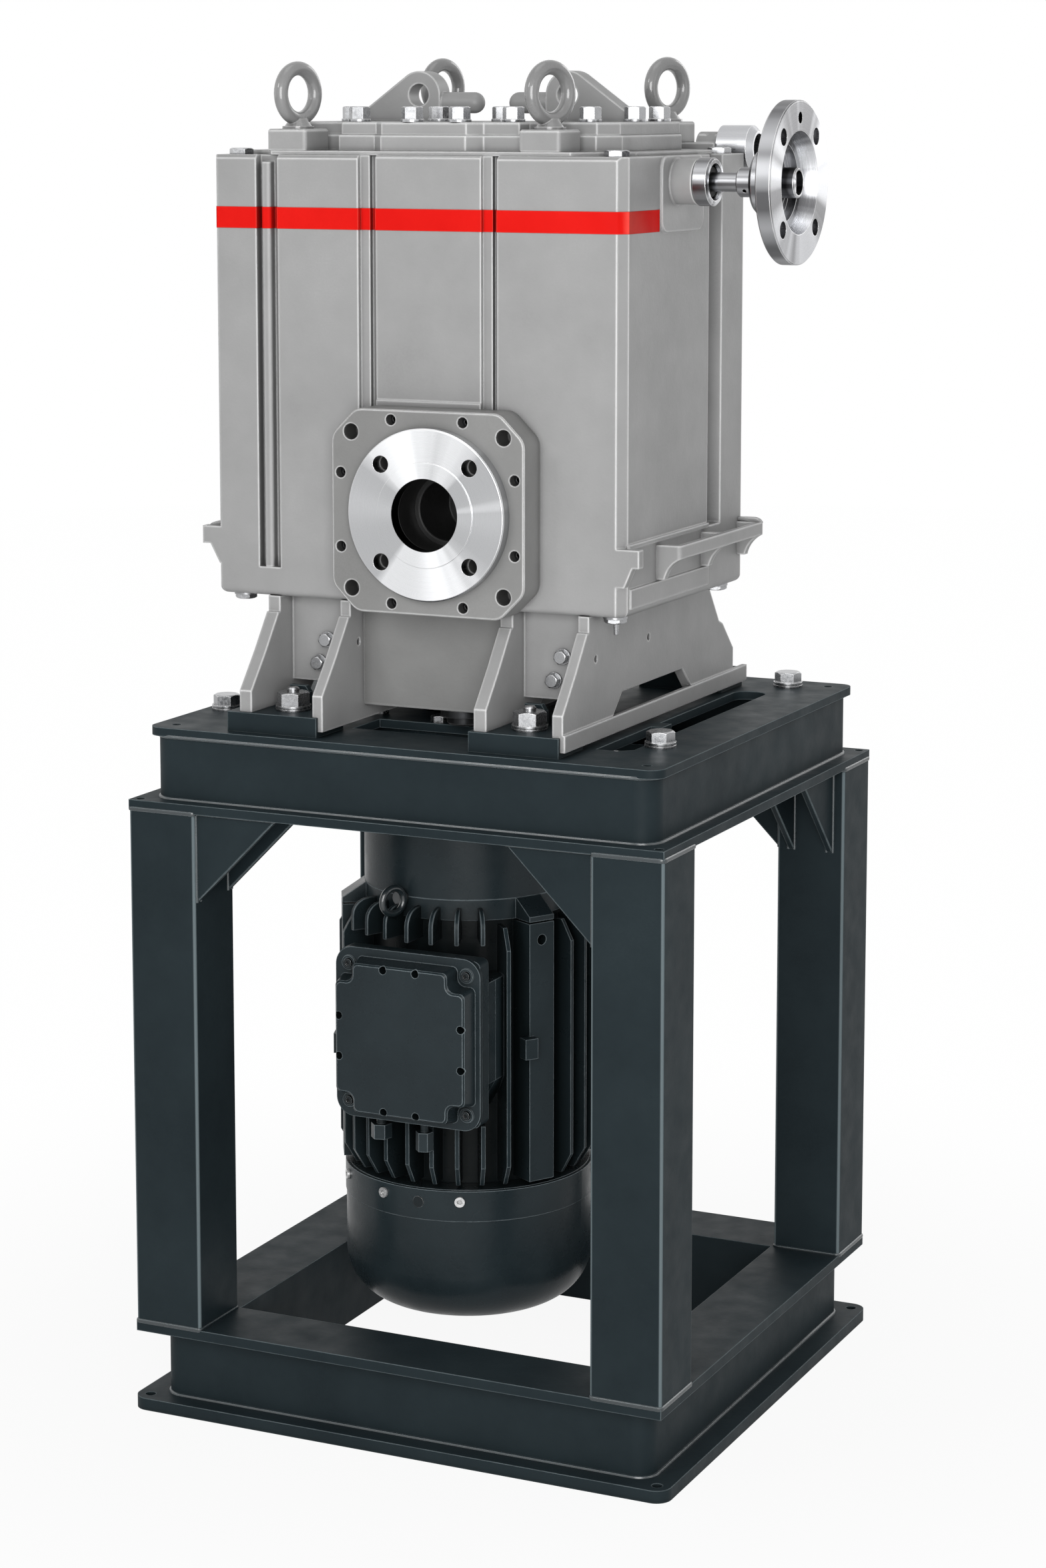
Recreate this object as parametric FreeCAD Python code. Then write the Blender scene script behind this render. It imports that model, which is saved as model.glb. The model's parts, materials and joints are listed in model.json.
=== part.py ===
"""Dry claw vacuum pump on a welded stand, with its motor hung below.

Millimetres, +Z up.  X runs along the two shafts' centre line, the front with
the outlet flange looks along -Y.  The origin is the middle of the base plate's
underside.
"""
import FreeCAD, Part
import math
import os

from FreeCAD import Vector

os.makedirs("parts", exist_ok=True)

# Stand: base ring, legs and upper ring
BASE_W = 671.0
BASE_D = 651.0
BASE_PLATE_T = 14.4
BASE_CORNER_R = 18.0
BASE_HOLE_R = 6.0
BASE_HOLE_INSET = 16.0
BASE_LIP_W = 6.5
BASE_LIP_D = 3.0
BASE_WEB_H = 79.4
RING_FLANGE_T = 12.0
RING_WEB_INSET = 22.0
RING_WEB_R = 22.0
BEAM_W = 88.0
WEB_T = 8.0
LEG_W = 85.0
LEG_D = 88.0
LEG_LENGTH = 603.3
LEG_WALL = 6.0
LEG_CORNER_R = 4.0
GUSSET_L = 102.0
GUSSET_T = 8.0
GUSSET_INSET = 5.0
TOP_FLANGE_T = 10.6
TOP_WEB_H = 71.8
TOP_WEB_INSET = 20.0
TOP_WEB_R = 24.0
DECK_W = 631.0
DECK_D = 608.0
DECK_T = 10.0
DECK_CORNER_R = 18.0
DECK_HOLE_R = 5.0
DECK_HOLE_INSET = 25.0
SLOT_X0 = 203.0
SLOT_W = 40.0
SLOT_Y0 = -216.0
SLOT_Y1 = 206.0
SLOT_TAB_Y = -62.0
SLOT_TAB_W = 26.0
SLOT_TAB_L = 14.0
DECK_SHAFT_HOLE_R = 62.0
FRAME_BOLT_R = 8.0
FRAME_BOLT_ACROSS = 28.0
FRAME_BOLT_HEAD = 12.0
FRAME_WASHER_R = 17.5
ANCHOR_R = 7.0
ANCHOR_ACROSS = 33.0
ANCHOR_HEAD = 15.0
ANCHOR_WASHER_R = 20.0
ANCHOR_INSET = 40.0
ANCHOR_SHIFT = -4.0
WASHER_T = 3.0
CLIP_W = 25.0
CLIP_SHIFT = -17.0
CLIP_T = 8.0
CLIP_H = 24.0
BELL_BOLT_R = 6.0
BELL_BOLT_COUNT = 8

# The two shafts
DRIVE_X = -48.0
SHAFT_Y = -20.0
SHAFT_DISTANCE = 120.0
SHAFT_R = 20.0
RUNNING_FIT = 0.05

# Pedestal: two cast feet and the gear case between them
PAD_T = 22.5
PAD_FRONT_L = 64.0
FOOT_FRONT_Y = -285.0
FOOT_REAR_Y = 208.0
FOOT_H = 123.0
FOOT_WALL_T = 15.0
FOOT_RIGHT_WALL_T = 12.5
FOOT_TOP_T = 12.0
FOOT_HOLE_R = 4.0
FOOT_HOLES = ((-198.0, 74.0), (-51.0, 78.0))
LEFT_FOOT_X = -204.0
LEFT_FOOT_W = 105.0
LEFT_PAD_OVERHANG = 14.0
RIGHT_FOOT_X = 88.0
RIGHT_FOOT_W = 109.0
RIGHT_PAD_OVERHANG = 5.0
SKIRT_T = 6.0
SKIRT_H = 19.0
RIGHT_SKIRT_LEDGE = 2.5
SKIRT_REAR_Y = 247.0
TOE_H = 24.0
KNEE_H = 65.0
KNEE_RUN = 34.0
BROW_H = 18.0
WINDOW_Y0 = -154.0
WINDOW_Y1 = 79.0
WINDOW_H = 27.0
WINDOW_SLOPE = 29.0
WEB_PLATE_Y = -188.0
WEB_PLATE_T = 12.0
REAR_WEB_Y = 96.0
WEB_BOLT_R = 5.0
WEB_BOLT_COLLAR_R = 9.0
WEB_BOLT_ACROSS = 14.0
PANEL_Y = -186.0
CASE_REAR_Y = 110.0
CASE_WALL = 12.0
CASE_FLOOR = 14.0
CASE_COVER_T = 10.0
CASE_SEAL_R = 27.0
PLUG_X = 14.0
PLUG_INSET = 29.0
PLUG_R = 27.0

# Pump block
BLOCK_X0 = -266.0
BLOCK_X1 = 236.7
BLOCK_FRONT_Y = -219.0
BLOCK_REAR_Y = 122.0
BLOCK_H = 497.0
CORNER_BEVEL = 10.0
TOP_BEVEL = 4.0
PANEL_RECESS = 1.5
PANEL_LEDGE_RISE = 6.0
BRACKET_REACH_LEFT = 22.0
BRACKET_REACH_RIGHT = 17.5
CORNER_SCREW_INSET = 20.5
CORNER_SCREW_R = 6.0
CORNER_SCREW_DEPTH = 20.0
GROOVE_DEPTH = 12.0
STEP_DEPTH = 6.0
BAR_GROOVE_X = -213.8
BAR_GROOVE_W = 27.0
BAR_X = -207.9
BAR_W = 11.0
BAR_BOTTOM_H = 33.0
LEFT_GROOVE_X = -85.3
LEFT_GROOVE_W = 21.3
RIGHT_GROOVE_X = 65.0
RIGHT_GROOVE_W = 20.0
GROOVE_STEP_W = 12.0
RIB_GAP_Y0 = 18.0
RIB_GAP_Y1 = 58.0
RIB_GAP_DEPTH = 26.0
SIDE_BAND_H = 31.0
SIDE_BAND_T = 2.5
RIDGE_H = 76.0
RIDGE_T = 4.0

# Ducts in the block
PORT_DUCT_R = 9.0
PORT_DROP = 54.0
HEADER_DUCT_R = 20.0
HEADER_DUCT_DROP = 80.0

# Chambers, claws and gears
GEAR_SPACE_H = 58.0
LOWER_WEB_H = 45.0
STAGE_HEIGHTS = (66.0, 90.0, 140.0)
STAGE_PLATE_T = 22.0
CLAW_TIP_R = 88.0
CLAW_CLEARANCE = 0.25
CLAW_LAND_DEG = 20.0
CLAW_TURN_CLEARANCE_DEG = 0.35
CLAW_END_CLEARANCE = 0.3
CHAMBER_CLEARANCE = 0.4
CLAW_REST_DEG = 205.0
CURVE_STEPS = 7
GEAR_MODULE = 3.0
GEAR_WIDTH = 30.0
GEAR_BACKLASH = 0.25
GEAR_PRESSURE_DEG = 20.0
BEARING_R = 45.0
BEARING_H = 25.0
SEAL_R = 28.0
SEAL_H = 10.0

# Outlet
PAD_X = 19.0
PAD_Z = 108.8
PAD_W = 235.4
PAD_H = 226.2
PAD_DEPTH = 41.0
PAD_BEVEL = 30.0
PAD_CORNER_R = 20.0
PAD_HOLE_DX = 186.0
PAD_HOLE_DZ = 173.8
PAD_HOLE_R = 9.0
PAD_SCREW_R = 6.0
FLANGE_X = 24.0
FLANGE_R = 95.25
FLANGE_T = 15.0
FLANGE_PCD = 152.4
FLANGE_HOLE_R = 9.5
TAPPED_R = 8.0
TAPPED_DEPTH = 30.0
FLANGE_FACE_R = 58.0
FLANGE_FACE_T = 1.6
OUTLET_R = 40.0

# Top covers and lifting gear
TOP_PLATE_T = 4.5
TOP_PLATE_MARGIN = 14.0
COVER_X = -12.0
COVER_Y = -24.0
COVER_HALF_W = 202.0
COVER_FRONT_L = 181.0
COVER_REAR_L = 120.0
COVER_LOWER_T = 17.4
COVER_UPPER_T = 14.4
COVER_STEP = 2.5
COVER_BOLT_R = 5.0
COVER_BOLT_ACROSS = 21.0
COVER_BOLT_HEAD = 14.0
COVER_WASHER_R = 13.0
EYE_BLOCK_W = 49.0
EYE_BLOCK_D = 56.0
EYE_BLOCK_H = 24.0
EYE_CENTRE_H = 39.0
EYE_RING_R = 27.9
EYE_SHANK_R = 8.0
EYE_INSET_Y = 36.0
EYE_LEFT_INSET = 87.0
EYE_RIGHT_INSET = 105.0
EYE_REAR_LEFT_INSET = 103.0
EYE_REAR_RIGHT_INSET = 107.0
EYE_BAR_R = 8.0
EYE_COLLAR_R = 16.0
LUG_T = 26.0
LUG_R = 27.0
LUG_HOLE_R = 12.7
LUG_SPAN = 94.0
LUG_TAIL = 88.0
LUG_CENTRE_H = 30.0
LUG_SHIFT_Y = 9.0
TRUNNION_R = 12.0
TRUNNION_GAP = 45.0
TRUNNION_RISE = 21.0

# Side port
PORT_Y = -82.0
PORT_Z = 468.5
SIDE_PAD_Y0 = -124.0
SIDE_PAD_Y1 = -6.0
SIDE_PAD_H = 83.0
SIDE_PAD_T = 3.0
BOSS_R = 25.0
BOSS_L = 29.0
NUT_R = 26.5
NUT_L = 19.0
TUBE_R = 10.5
TUBE_L = 98.0
TUBE_WALL = 2.5
SLEEVE_R = 16.5
SLEEVE_L = 38.0
RING_R = 89.0
RING_T = 18.0
RING_OPENING_R = 56.0
RING_BACK_R = 50.0
RING_PCD = 139.7
RING_HOLE_R = 9.5
RING_PIN_R = 6.5
HUB_R = 16.2
HUB_START = 29.0
HUB_L = 22.0
SET_SCREW_R = 2.3
DISH_WALL = 3.5
DISH_SMALL_R = 37.0
DISH_LARGE_R = 46.0
DISH_STEP = 14.0
DISH_LIP_R = 55.0

# Rear header and its port
HEADER_X0 = -190.0
HEADER_X1 = 200.0
HEADER_D = 60.0
HEADER_H = 132.0
HEADER_RISE = 11.5
HEADER_WALL = 10.0
HEADER_PORT_DROP = 6.5
HEADER_BOSS_R = 19.0
HOOK_W = 26.0
HOOK_T = 12.0
HOOK_H = 10.0
REAR_PORT_R = 26.5
REAR_PORT_L = 44.0
REAR_PORT_BORE_R = 17.0

# Side rails
RAIL_REACH = 30.0
RAIL_BAR_T = 7.0
RAIL_BAR_H = 14.5
RAIL_Z = 57.0
RAIL_Y0 = -131.0
RAIL_Y1 = 120.0
BRACKET_T = 10.0
BRACKET_DROP = 24.0

# Motor, coupling and bell
BELL_R = 123.0
BELL_WALL = 12.0
BELL_H = 196.5
SHIELD_T = 24.0
MOTOR_R = 118.0
MOTOR_WALL = 13.0
MOTOR_H = 313.0
FIN_R = 154.0
FIN_T = 5.0
FIN_COUNT = 32
FIN_START_DEG = -1.7
FIN_BEVEL = 24.0
FIN_BEVEL_SLOPE = 0.58
FIN_CLIP_RISE = 8.0
FIN_CLIPS = ((-3, 167.0), (18, 132.0))
MOUNT_PAD_W = 34.0
MOUNT_PAD_DEG = 30.0
MOTOR_SHAFT_R = 21.0
STATOR_BORE_R = 66.0
STATOR_H = 200.0
AIR_GAP = 0.6
REAR_SHIELD_T = 26.0
COWL_R = 147.5
COWL_WALL = 3.5
COWL_H = 168.0
COWL_FILLET = 60.0
COWL_BAND_H = 36.0
COWL_SCREW_DEGS = (-106.2, -68.3, 19.0, 109.0, 161.0, 221.0)
COWL_SCREW_DROP = 13.0
COWL_PLUG_DEG = -87.5
COWL_PLUG_DROP = 16.0
COWL_STEP = 1.0
COWL_SLOTS = 20
FAN_R = 118.0
FAN_BLADES = 7
FAN_T = 30.0
BOX_X = 10.0
BOX_W = 184.0
BOX_H = 200.0
BOX_DEPTH = 46.0
BOX_Z = 444.5
BOX_BASE_R = 128.0
BOX_FRONT_DEPTH = 22.0
BOX_LID_STEP = 3.0
BOX_CORNER_R = 8.0
BOX_RIM = 20.0
BOX_BACK_T = 6.0
BOX_BASE_DEPTH = 26.0
GLAND_BORE_DEPTH = 21.0
GLAND_BORE_SHARE = 0.45
LID_SCREW_BORE_R = 2.5
LID_SCREW_BORE_L = 16.0
GLAND_LEFT_X = -42.0
GLAND_RIGHT_X = 13.5
NECK_W = 172.0
NECK_RISE = 66.0
NECK_DROP = 92.0
NECK_CORNER = 40.0
NECK_WALL = 12.0
LID_PLATE_T = 6.0
LID_T = 22.0
LID_W = 161.0
LID_H = 172.0
LID_NOTCH = 22.0
LID_DRAFT = 5.0
LID_CORNER_R = 6.0
LID_HOLLOW_R = 10.0
LID_BITE_R = 4.5
LID_BITE_X = 20.5
LID_BITE_Z = 23.7
LID_BITE_INSET = 3.0
LID_BOSS_R = 8.5
LID_HOLE_INSET_X = 17.0
LID_HOLE_INSET_Z = 19.0
GLAND_INSET = 9.0
COUPLING_R = 45.0
COUPLING_HUB_H = 42.0
COUPLING_GAP = 15.0
COUPLING_JAW_DEG = 56.0
COUPLING_DROP = 92.0
COUPLING_FIT = 0.4
MOTOR_EYE_X = -27.0
MOTOR_EYE_Z = 22.0

# Levels worked out from the heights above
FRAME_W = BASE_W - 2 * BASE_LIP_W
FRAME_D = BASE_D - 2 * BASE_LIP_D
Z_RING_TOP = BASE_PLATE_T + BASE_WEB_H + RING_FLANGE_T
Z_LEG_TOP = Z_RING_TOP + LEG_LENGTH
Z_TOP_WEB = Z_LEG_TOP + TOP_FLANGE_T
Z_DECK_UNDER = Z_TOP_WEB + TOP_WEB_H
Z_DECK = Z_DECK_UNDER + DECK_T
Z_FOOT = Z_DECK + PAD_T
Z_BLOCK = Z_FOOT + FOOT_H
Z_WEB = Z_BLOCK + GEAR_SPACE_H
Z_STAGES = Z_WEB + LOWER_WEB_H
STAGES_H = sum(STAGE_HEIGHTS) + STAGE_PLATE_T * (len(STAGE_HEIGHTS) - 1)
Z_SPIGOT = Z_STAGES + STAGES_H
Z_BLOCK_TOP = Z_BLOCK + BLOCK_H
Z_COVER = Z_BLOCK_TOP + TOP_PLATE_T
Z_COVER_MID = Z_COVER + COVER_LOWER_T
Z_COVER_TOP = Z_COVER_MID + COVER_UPPER_T
Z_HEADER_TOP = Z_BLOCK_TOP + HEADER_RISE
Z_BELL = Z_DECK_UNDER - BELL_H
Z_MOTOR_TOP = Z_BELL - SHIELD_T
Z_MOTOR = Z_MOTOR_TOP - MOTOR_H
Z_COWL = Z_MOTOR - COWL_H
DRIVEN_X = DRIVE_X + SHAFT_DISTANCE
PITCH_R = SHAFT_DISTANCE / 2
CHAMBER_R = CLAW_TIP_R + CHAMBER_CLEARANCE
AXES = (DRIVE_X, DRIVEN_X)
PAD_FRONT_Y = FOOT_FRONT_Y - 4.0
PAD_REAR_Y = SKIRT_REAR_Y
GAP_X0 = LEFT_FOOT_X + LEFT_FOOT_W + 1.0
GAP_X1 = RIGHT_FOOT_X - RIGHT_PAD_OVERHANG - 1.0
GAP_Y0 = -215.0
GAP_Y1 = -149.0
FRAME_BOLTS = ((DECK_W / 2 - 55, -DECK_D / 2 + 133), (DECK_W / 2 - 70, DECK_D / 2 - 43),
               (-DECK_W / 2 + 26, -DECK_D / 2 + 138), (-DECK_W / 2 + 27, DECK_D / 2 - 68))
PLUG_Y = PANEL_Y + PLUG_INSET
Z_OUTLET = Z_BLOCK + PAD_Z
Z_PORT = Z_BLOCK + PORT_Z
PAD_FACE_Y = BLOCK_FRONT_Y - PAD_DEPTH
GEAR_SPACE_R = PITCH_R + GEAR_MODULE + 8
BEARING_SEAT_H = BEARING_H + 5
SEAL_SHAFT_R = SHAFT_R - 2
COUPLING_BORE_R = SHAFT_R - 4
COUPLING_MIDDLE_Z = Z_DECK_UNDER - COUPLING_DROP
Z_HUB_TOP = COUPLING_MIDDLE_Z + COUPLING_GAP / 2 + COUPLING_HUB_H
X_BOSS = BLOCK_X1 + BOSS_L
X_NUT = X_BOSS + NUT_L
X_TUBE_END = X_NUT + TUBE_L
X_RING = X_TUBE_END - RING_T
X_HUB = X_NUT + HUB_START
X_DISH = X_HUB + HUB_L
HEADER_PORT_Y = BLOCK_REAR_Y + HEADER_D / 2
HEADER_PORT_Z = Z_HEADER_TOP - HEADER_PORT_DROP
EYE_FRONT_Y = BLOCK_FRONT_Y + EYE_INSET_Y
EYE_REAR_Y = BLOCK_REAR_Y + HEADER_D / 2 - 3
BOX_MID_X = DRIVE_X + BOX_X
Y_BOX_BACK = SHAFT_Y - BOX_BASE_R
Y_BOX_FRONT = Y_BOX_BACK - BOX_DEPTH
Y_LID = Y_BOX_FRONT - LID_PLATE_T
Z_COWL_SCREW = Z_MOTOR - COWL_SCREW_DROP


def box(x0, x1, y0, y1, z0, z1):
    return Part.makeBox(x1 - x0, y1 - y0, z1 - z0, Vector(x0, y0, z0))


def disc(x, y, z0, z1, r):
    return Part.makeCylinder(r, z1 - z0, Vector(x, y, z0))


def rod_x(y, z, x0, x1, r):
    return Part.makeCylinder(r, x1 - x0, Vector(x0, y, z), Vector(1, 0, 0))


def rod_y(x, z, y0, y1, r):
    return Part.makeCylinder(r, y1 - y0, Vector(x, y0, z), Vector(0, 1, 0))


def upright_edges(shape, wanted=None):
    """The edges along Z, or those of them whose (x, y) passes the test."""
    found = []
    for edge in shape.Edges:
        a = edge.Vertexes[0].Point
        b = edge.Vertexes[-1].Point
        if abs(a.z - b.z) > 0.1 and abs(a.x - b.x) < 1e-6 and abs(a.y - b.y) < 1e-6:
            if wanted is None or wanted(a.x, a.y):
                found.append(edge)
    return found


def rounded_box(w, d, z0, z1, r, x=0.0, y=0.0):
    block = box(x - w / 2, x + w / 2, y - d / 2, y + d / 2, z0, z1)
    return block.makeFillet(r, upright_edges(block))


def plate_xy(points, z0, z1):
    wire = Part.makePolygon([Vector(x, y, z0) for x, y in points + points[:1]])
    return Part.Face(wire).extrude(Vector(0, 0, z1 - z0))


def plate_xz(points, y0, y1):
    wire = Part.makePolygon([Vector(x, y0, z) for x, z in points + points[:1]])
    return Part.Face(wire).extrude(Vector(0, y1 - y0, 0))


def plate_yz(points, x0, x1):
    wire = Part.makePolygon([Vector(x0, y, z) for y, z in points + points[:1]])
    return Part.Face(wire).extrude(Vector(x1 - x0, 0, 0))


def join(shapes):
    first = shapes[0]
    return first.fuse(shapes[1:]).removeSplitter() if len(shapes) > 1 else first


def turned(shape, x, y, degrees):
    copy = shape.copy()
    copy.rotate(Vector(x, y, 0), Vector(0, 0, 1), degrees)
    return copy


def moved(shape, x=0.0, y=0.0, z=0.0):
    copy = shape.copy()
    copy.translate(Vector(x, y, z))
    return copy


def mirrored(shape, x):
    return shape.mirror(Vector(x, 0, 0), Vector(1, 0, 0))


def hex_prism(x, y, z0, z1, across):
    r = across / math.sqrt(3)
    corners = [(x + r * math.cos(math.radians(a)), y + r * math.sin(math.radians(a)))
               for a in range(15, 375, 60)]
    return plate_xy(corners, z0, z1)


def save(name, solids):
    shape = solids[0] if len(solids) == 1 else Part.makeCompound(solids)
    if not shape.isValid():
        print("not valid:", name)
    shape.exportStep("parts/" + name + ".step")


# Stand

def ring_shell(w, d, r, beam_w, z0, z1):
    """A closed box section that runs round a rectangle, hollow inside."""
    inner_w = FRAME_W - 2 * beam_w
    inner_d = FRAME_D - 2 * beam_w
    outer = rounded_box(w, d, z0, z1, r)
    hollow = rounded_box(w - 2 * WEB_T, d - 2 * WEB_T, z0, z1, r - WEB_T)
    core = box(-inner_w / 2 - WEB_T, inner_w / 2 + WEB_T,
               -inner_d / 2 - WEB_T, inner_d / 2 + WEB_T, z0, z1)
    opening = box(-inner_w / 2, inner_w / 2, -inner_d / 2, inner_d / 2, z0, z1)
    return outer.cut(hollow.cut(core)).cut(opening)


def stand_base():
    opening_w = FRAME_W - 2 * BEAM_W
    opening_d = FRAME_D - 2 * BEAM_W
    plate = rounded_box(BASE_W, BASE_D, 0, BASE_PLATE_T, BASE_CORNER_R)
    for sx in (-1, 1):
        for sy in (-1, 1):
            x = sx * (BASE_W / 2 - BASE_HOLE_INSET)
            y = sy * (BASE_D / 2 - BASE_HOLE_INSET)
            plate = plate.cut(disc(x, y, 0, BASE_PLATE_T, BASE_HOLE_R))
    z_flange = BASE_PLATE_T + BASE_WEB_H
    web = ring_shell(FRAME_W - 2 * RING_WEB_INSET, FRAME_D - 2 * RING_WEB_INSET,
                     RING_WEB_R, BEAM_W, BASE_PLATE_T, z_flange)
    flange = box(-FRAME_W / 2, FRAME_W / 2, -FRAME_D / 2, FRAME_D / 2, z_flange, Z_RING_TOP)
    opening = box(-opening_w / 2, opening_w / 2, -opening_d / 2, opening_d / 2, 0, Z_RING_TOP)
    save("stand_base", [join([plate.cut(opening), web, flange.cut(opening)])])


def leg_corner(sx, sy):
    return sx * (FRAME_W / 2 - LEG_W / 2), sy * (FRAME_D / 2 - LEG_D / 2)


def stand_legs():
    names = {(-1, -1): "stand_leg_front_left", (1, -1): "stand_leg_front_right",
             (-1, 1): "stand_leg_rear_left", (1, 1): "stand_leg_rear_right"}
    for (sx, sy), name in names.items():
        x, y = leg_corner(sx, sy)
        outer = rounded_box(LEG_W, LEG_D, Z_RING_TOP, Z_LEG_TOP, LEG_CORNER_R, x, y)
        inner = box(x - LEG_W / 2 + LEG_WALL, x + LEG_W / 2 - LEG_WALL,
                    y - LEG_D / 2 + LEG_WALL, y + LEG_D / 2 - LEG_WALL, Z_RING_TOP, Z_LEG_TOP)
        save(name, [outer.cut(inner)])


def stand_gussets():
    """Two triangular plates each way at the top of every leg."""
    plates = []
    for sx in (-1, 1):
        for sy in (-1, 1):
            x, y = leg_corner(sx, sy)
            for place in (-1, 1):
                inner_x = x - sx * LEG_W / 2
                y_mid = y + place * (LEG_D / 2 - GUSSET_INSET - GUSSET_T / 2)
                corner = [(inner_x, Z_LEG_TOP), (inner_x - sx * GUSSET_L, Z_LEG_TOP),
                          (inner_x, Z_LEG_TOP - GUSSET_L)]
                plates.append(plate_xz(corner, y_mid - GUSSET_T / 2, y_mid + GUSSET_T / 2))
                inner_y = y - sy * LEG_D / 2
                x_mid = x + place * (LEG_W / 2 - GUSSET_INSET - GUSSET_T / 2)
                corner = [(inner_y, Z_LEG_TOP), (inner_y - sy * GUSSET_L, Z_LEG_TOP),
                          (inner_y, Z_LEG_TOP - GUSSET_L)]
                plates.append(plate_yz(corner, x_mid - GUSSET_T / 2, x_mid + GUSSET_T / 2))
    save("stand_gussets", plates)


def feet():
    """The x range of each foot and of the pad beneath it."""
    for name, x, w, overhang in (("left", LEFT_FOOT_X, LEFT_FOOT_W, LEFT_PAD_OVERHANG),
                                 ("right", RIGHT_FOOT_X, RIGHT_FOOT_W, RIGHT_PAD_OVERHANG)):
        yield name, x, x + w, x - overhang, x + w - SKIRT_T


def anchor_places():
    """Where the four anchor bolts go through the pads into the deck."""
    for name, x0, x1, pad_x0, pad_x1 in feet():
        x = (x0 + x1) / 2 + ANCHOR_SHIFT
        yield x, PAD_FRONT_Y + ANCHOR_INSET
        yield x, PAD_REAR_Y - ANCHOR_INSET


def bell_bolt_places():
    ring_r = BELL_R - BELL_WALL / 2
    for i in range(BELL_BOLT_COUNT):
        a = math.radians(i * 360 / BELL_BOLT_COUNT + 10)
        yield DRIVE_X + ring_r * math.cos(a), SHAFT_Y + ring_r * math.sin(a)


def stand_top_frame():
    opening_w = FRAME_W - 2 * BEAM_W
    opening_d = FRAME_D - 2 * BEAM_W
    flange = box(-FRAME_W / 2, FRAME_W / 2, -FRAME_D / 2, FRAME_D / 2, Z_LEG_TOP, Z_TOP_WEB)
    flange = flange.cut(box(-opening_w / 2, opening_w / 2, -opening_d / 2, opening_d / 2,
                            Z_LEG_TOP, Z_TOP_WEB))
    web_w = FRAME_W - 2 * TOP_WEB_INSET
    web_d = FRAME_D - 2 * TOP_WEB_INSET
    web = rounded_box(web_w, web_d, Z_TOP_WEB, Z_DECK_UNDER, TOP_WEB_R)
    web = web.cut(rounded_box(web_w - 2 * WEB_T, web_d - 2 * WEB_T, Z_TOP_WEB, Z_DECK_UNDER,
                              TOP_WEB_R - WEB_T))
    deck = rounded_box(DECK_W, DECK_D, Z_DECK_UNDER, Z_DECK, DECK_CORNER_R)
    deck = deck.cut(box(GAP_X0, GAP_X1, GAP_Y0, GAP_Y1, Z_DECK_UNDER, Z_DECK))
    deck = deck.cut(disc(DRIVE_X, SHAFT_Y, Z_DECK_UNDER, Z_DECK, DECK_SHAFT_HOLE_R))
    slot = box(SLOT_X0, SLOT_X0 + SLOT_W, SLOT_Y0, SLOT_Y1, Z_DECK_UNDER, Z_DECK)
    slot = slot.makeFillet(SLOT_W * 0.42, upright_edges(slot, lambda x, y: y > 0))
    slot = slot.makeChamfer(SLOT_W * 0.35, upright_edges(slot, lambda x, y: y < 0 and x > SLOT_X0 + 1))
    tab = box(SLOT_X0, SLOT_X0 + SLOT_TAB_L, SLOT_TAB_Y, SLOT_TAB_Y + SLOT_TAB_W,
              Z_DECK_UNDER, Z_DECK)
    deck = deck.cut(slot.cut(tab))
    for sx in (-1, 1):
        for sy in (-1, 1):
            x = sx * (DECK_W / 2 - DECK_HOLE_INSET)
            y = sy * (DECK_D / 2 - DECK_HOLE_INSET)
            deck = deck.cut(disc(x, y, Z_DECK_UNDER, Z_DECK, DECK_HOLE_R))
            x = sx * (FRAME_W / 2 - TOP_WEB_INSET / 2)
            y = sy * (FRAME_D / 2 - TOP_WEB_INSET / 2)
            flange = flange.cut(disc(x, y, Z_LEG_TOP, Z_TOP_WEB, DECK_HOLE_R))
    for x, y in anchor_places():
        deck = deck.cut(disc(x, y, Z_DECK_UNDER, Z_DECK, ANCHOR_R))
    for x, y in FRAME_BOLTS:
        deck = deck.cut(disc(x, y, Z_DECK_UNDER, Z_DECK, FRAME_BOLT_R))
    for x, y in bell_bolt_places():
        deck = deck.cut(disc(x, y, Z_DECK_UNDER, Z_DECK, BELL_BOLT_R))
    save("stand_top_frame", [join([flange, web, deck])])


def hex_head(x, y, z0, z1, across):
    """A hexagon with its top corners turned off."""
    top_r = across * 0.47
    cone = Part.makeCone(top_r + (z1 - z0) * 1.7, top_r, z1 - z0, Vector(x, y, z0))
    return hex_prism(x, y, z0, z1, across).common(cone)


def hex_bolt(x, y, z_seat, shank_r, shank_l, across, head_h, washer_r=0.0, washers=1, stud_h=0.0):
    """A hex bolt standing on z_seat with its shank below, and its washers."""
    z_head = z_seat + (washers * WASHER_T if washer_r else 0.0)
    shank = disc(x, y, z_seat - shank_l, z_head, shank_r)
    parts = [hex_head(x, y, z_head, z_head + head_h, across), shank]
    if stud_h:
        stud = disc(x, y, z_head, z_head + head_h + stud_h, shank_r)
        parts.append(stud.makeChamfer(1.5, [e for e in stud.Edges
                                            if e.BoundBox.ZMin > z_head + 1 and e.BoundBox.ZLength < 0.01]))
    pieces = [join(parts)]
    if washer_r:
        washer = disc(x, y, z_seat, z_head, washer_r)
        for i in range(1, washers):
            z = z_seat + i * WASHER_T
            rim = disc(x, y, z - 0.4, z + 0.4, washer_r).cut(disc(x, y, z - 0.4, z + 0.4, washer_r - 1))
            washer = washer.cut(rim)
        pieces.append(washer.cut(disc(x, y, z_seat, z_head, shank_r)))
    return pieces


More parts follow.
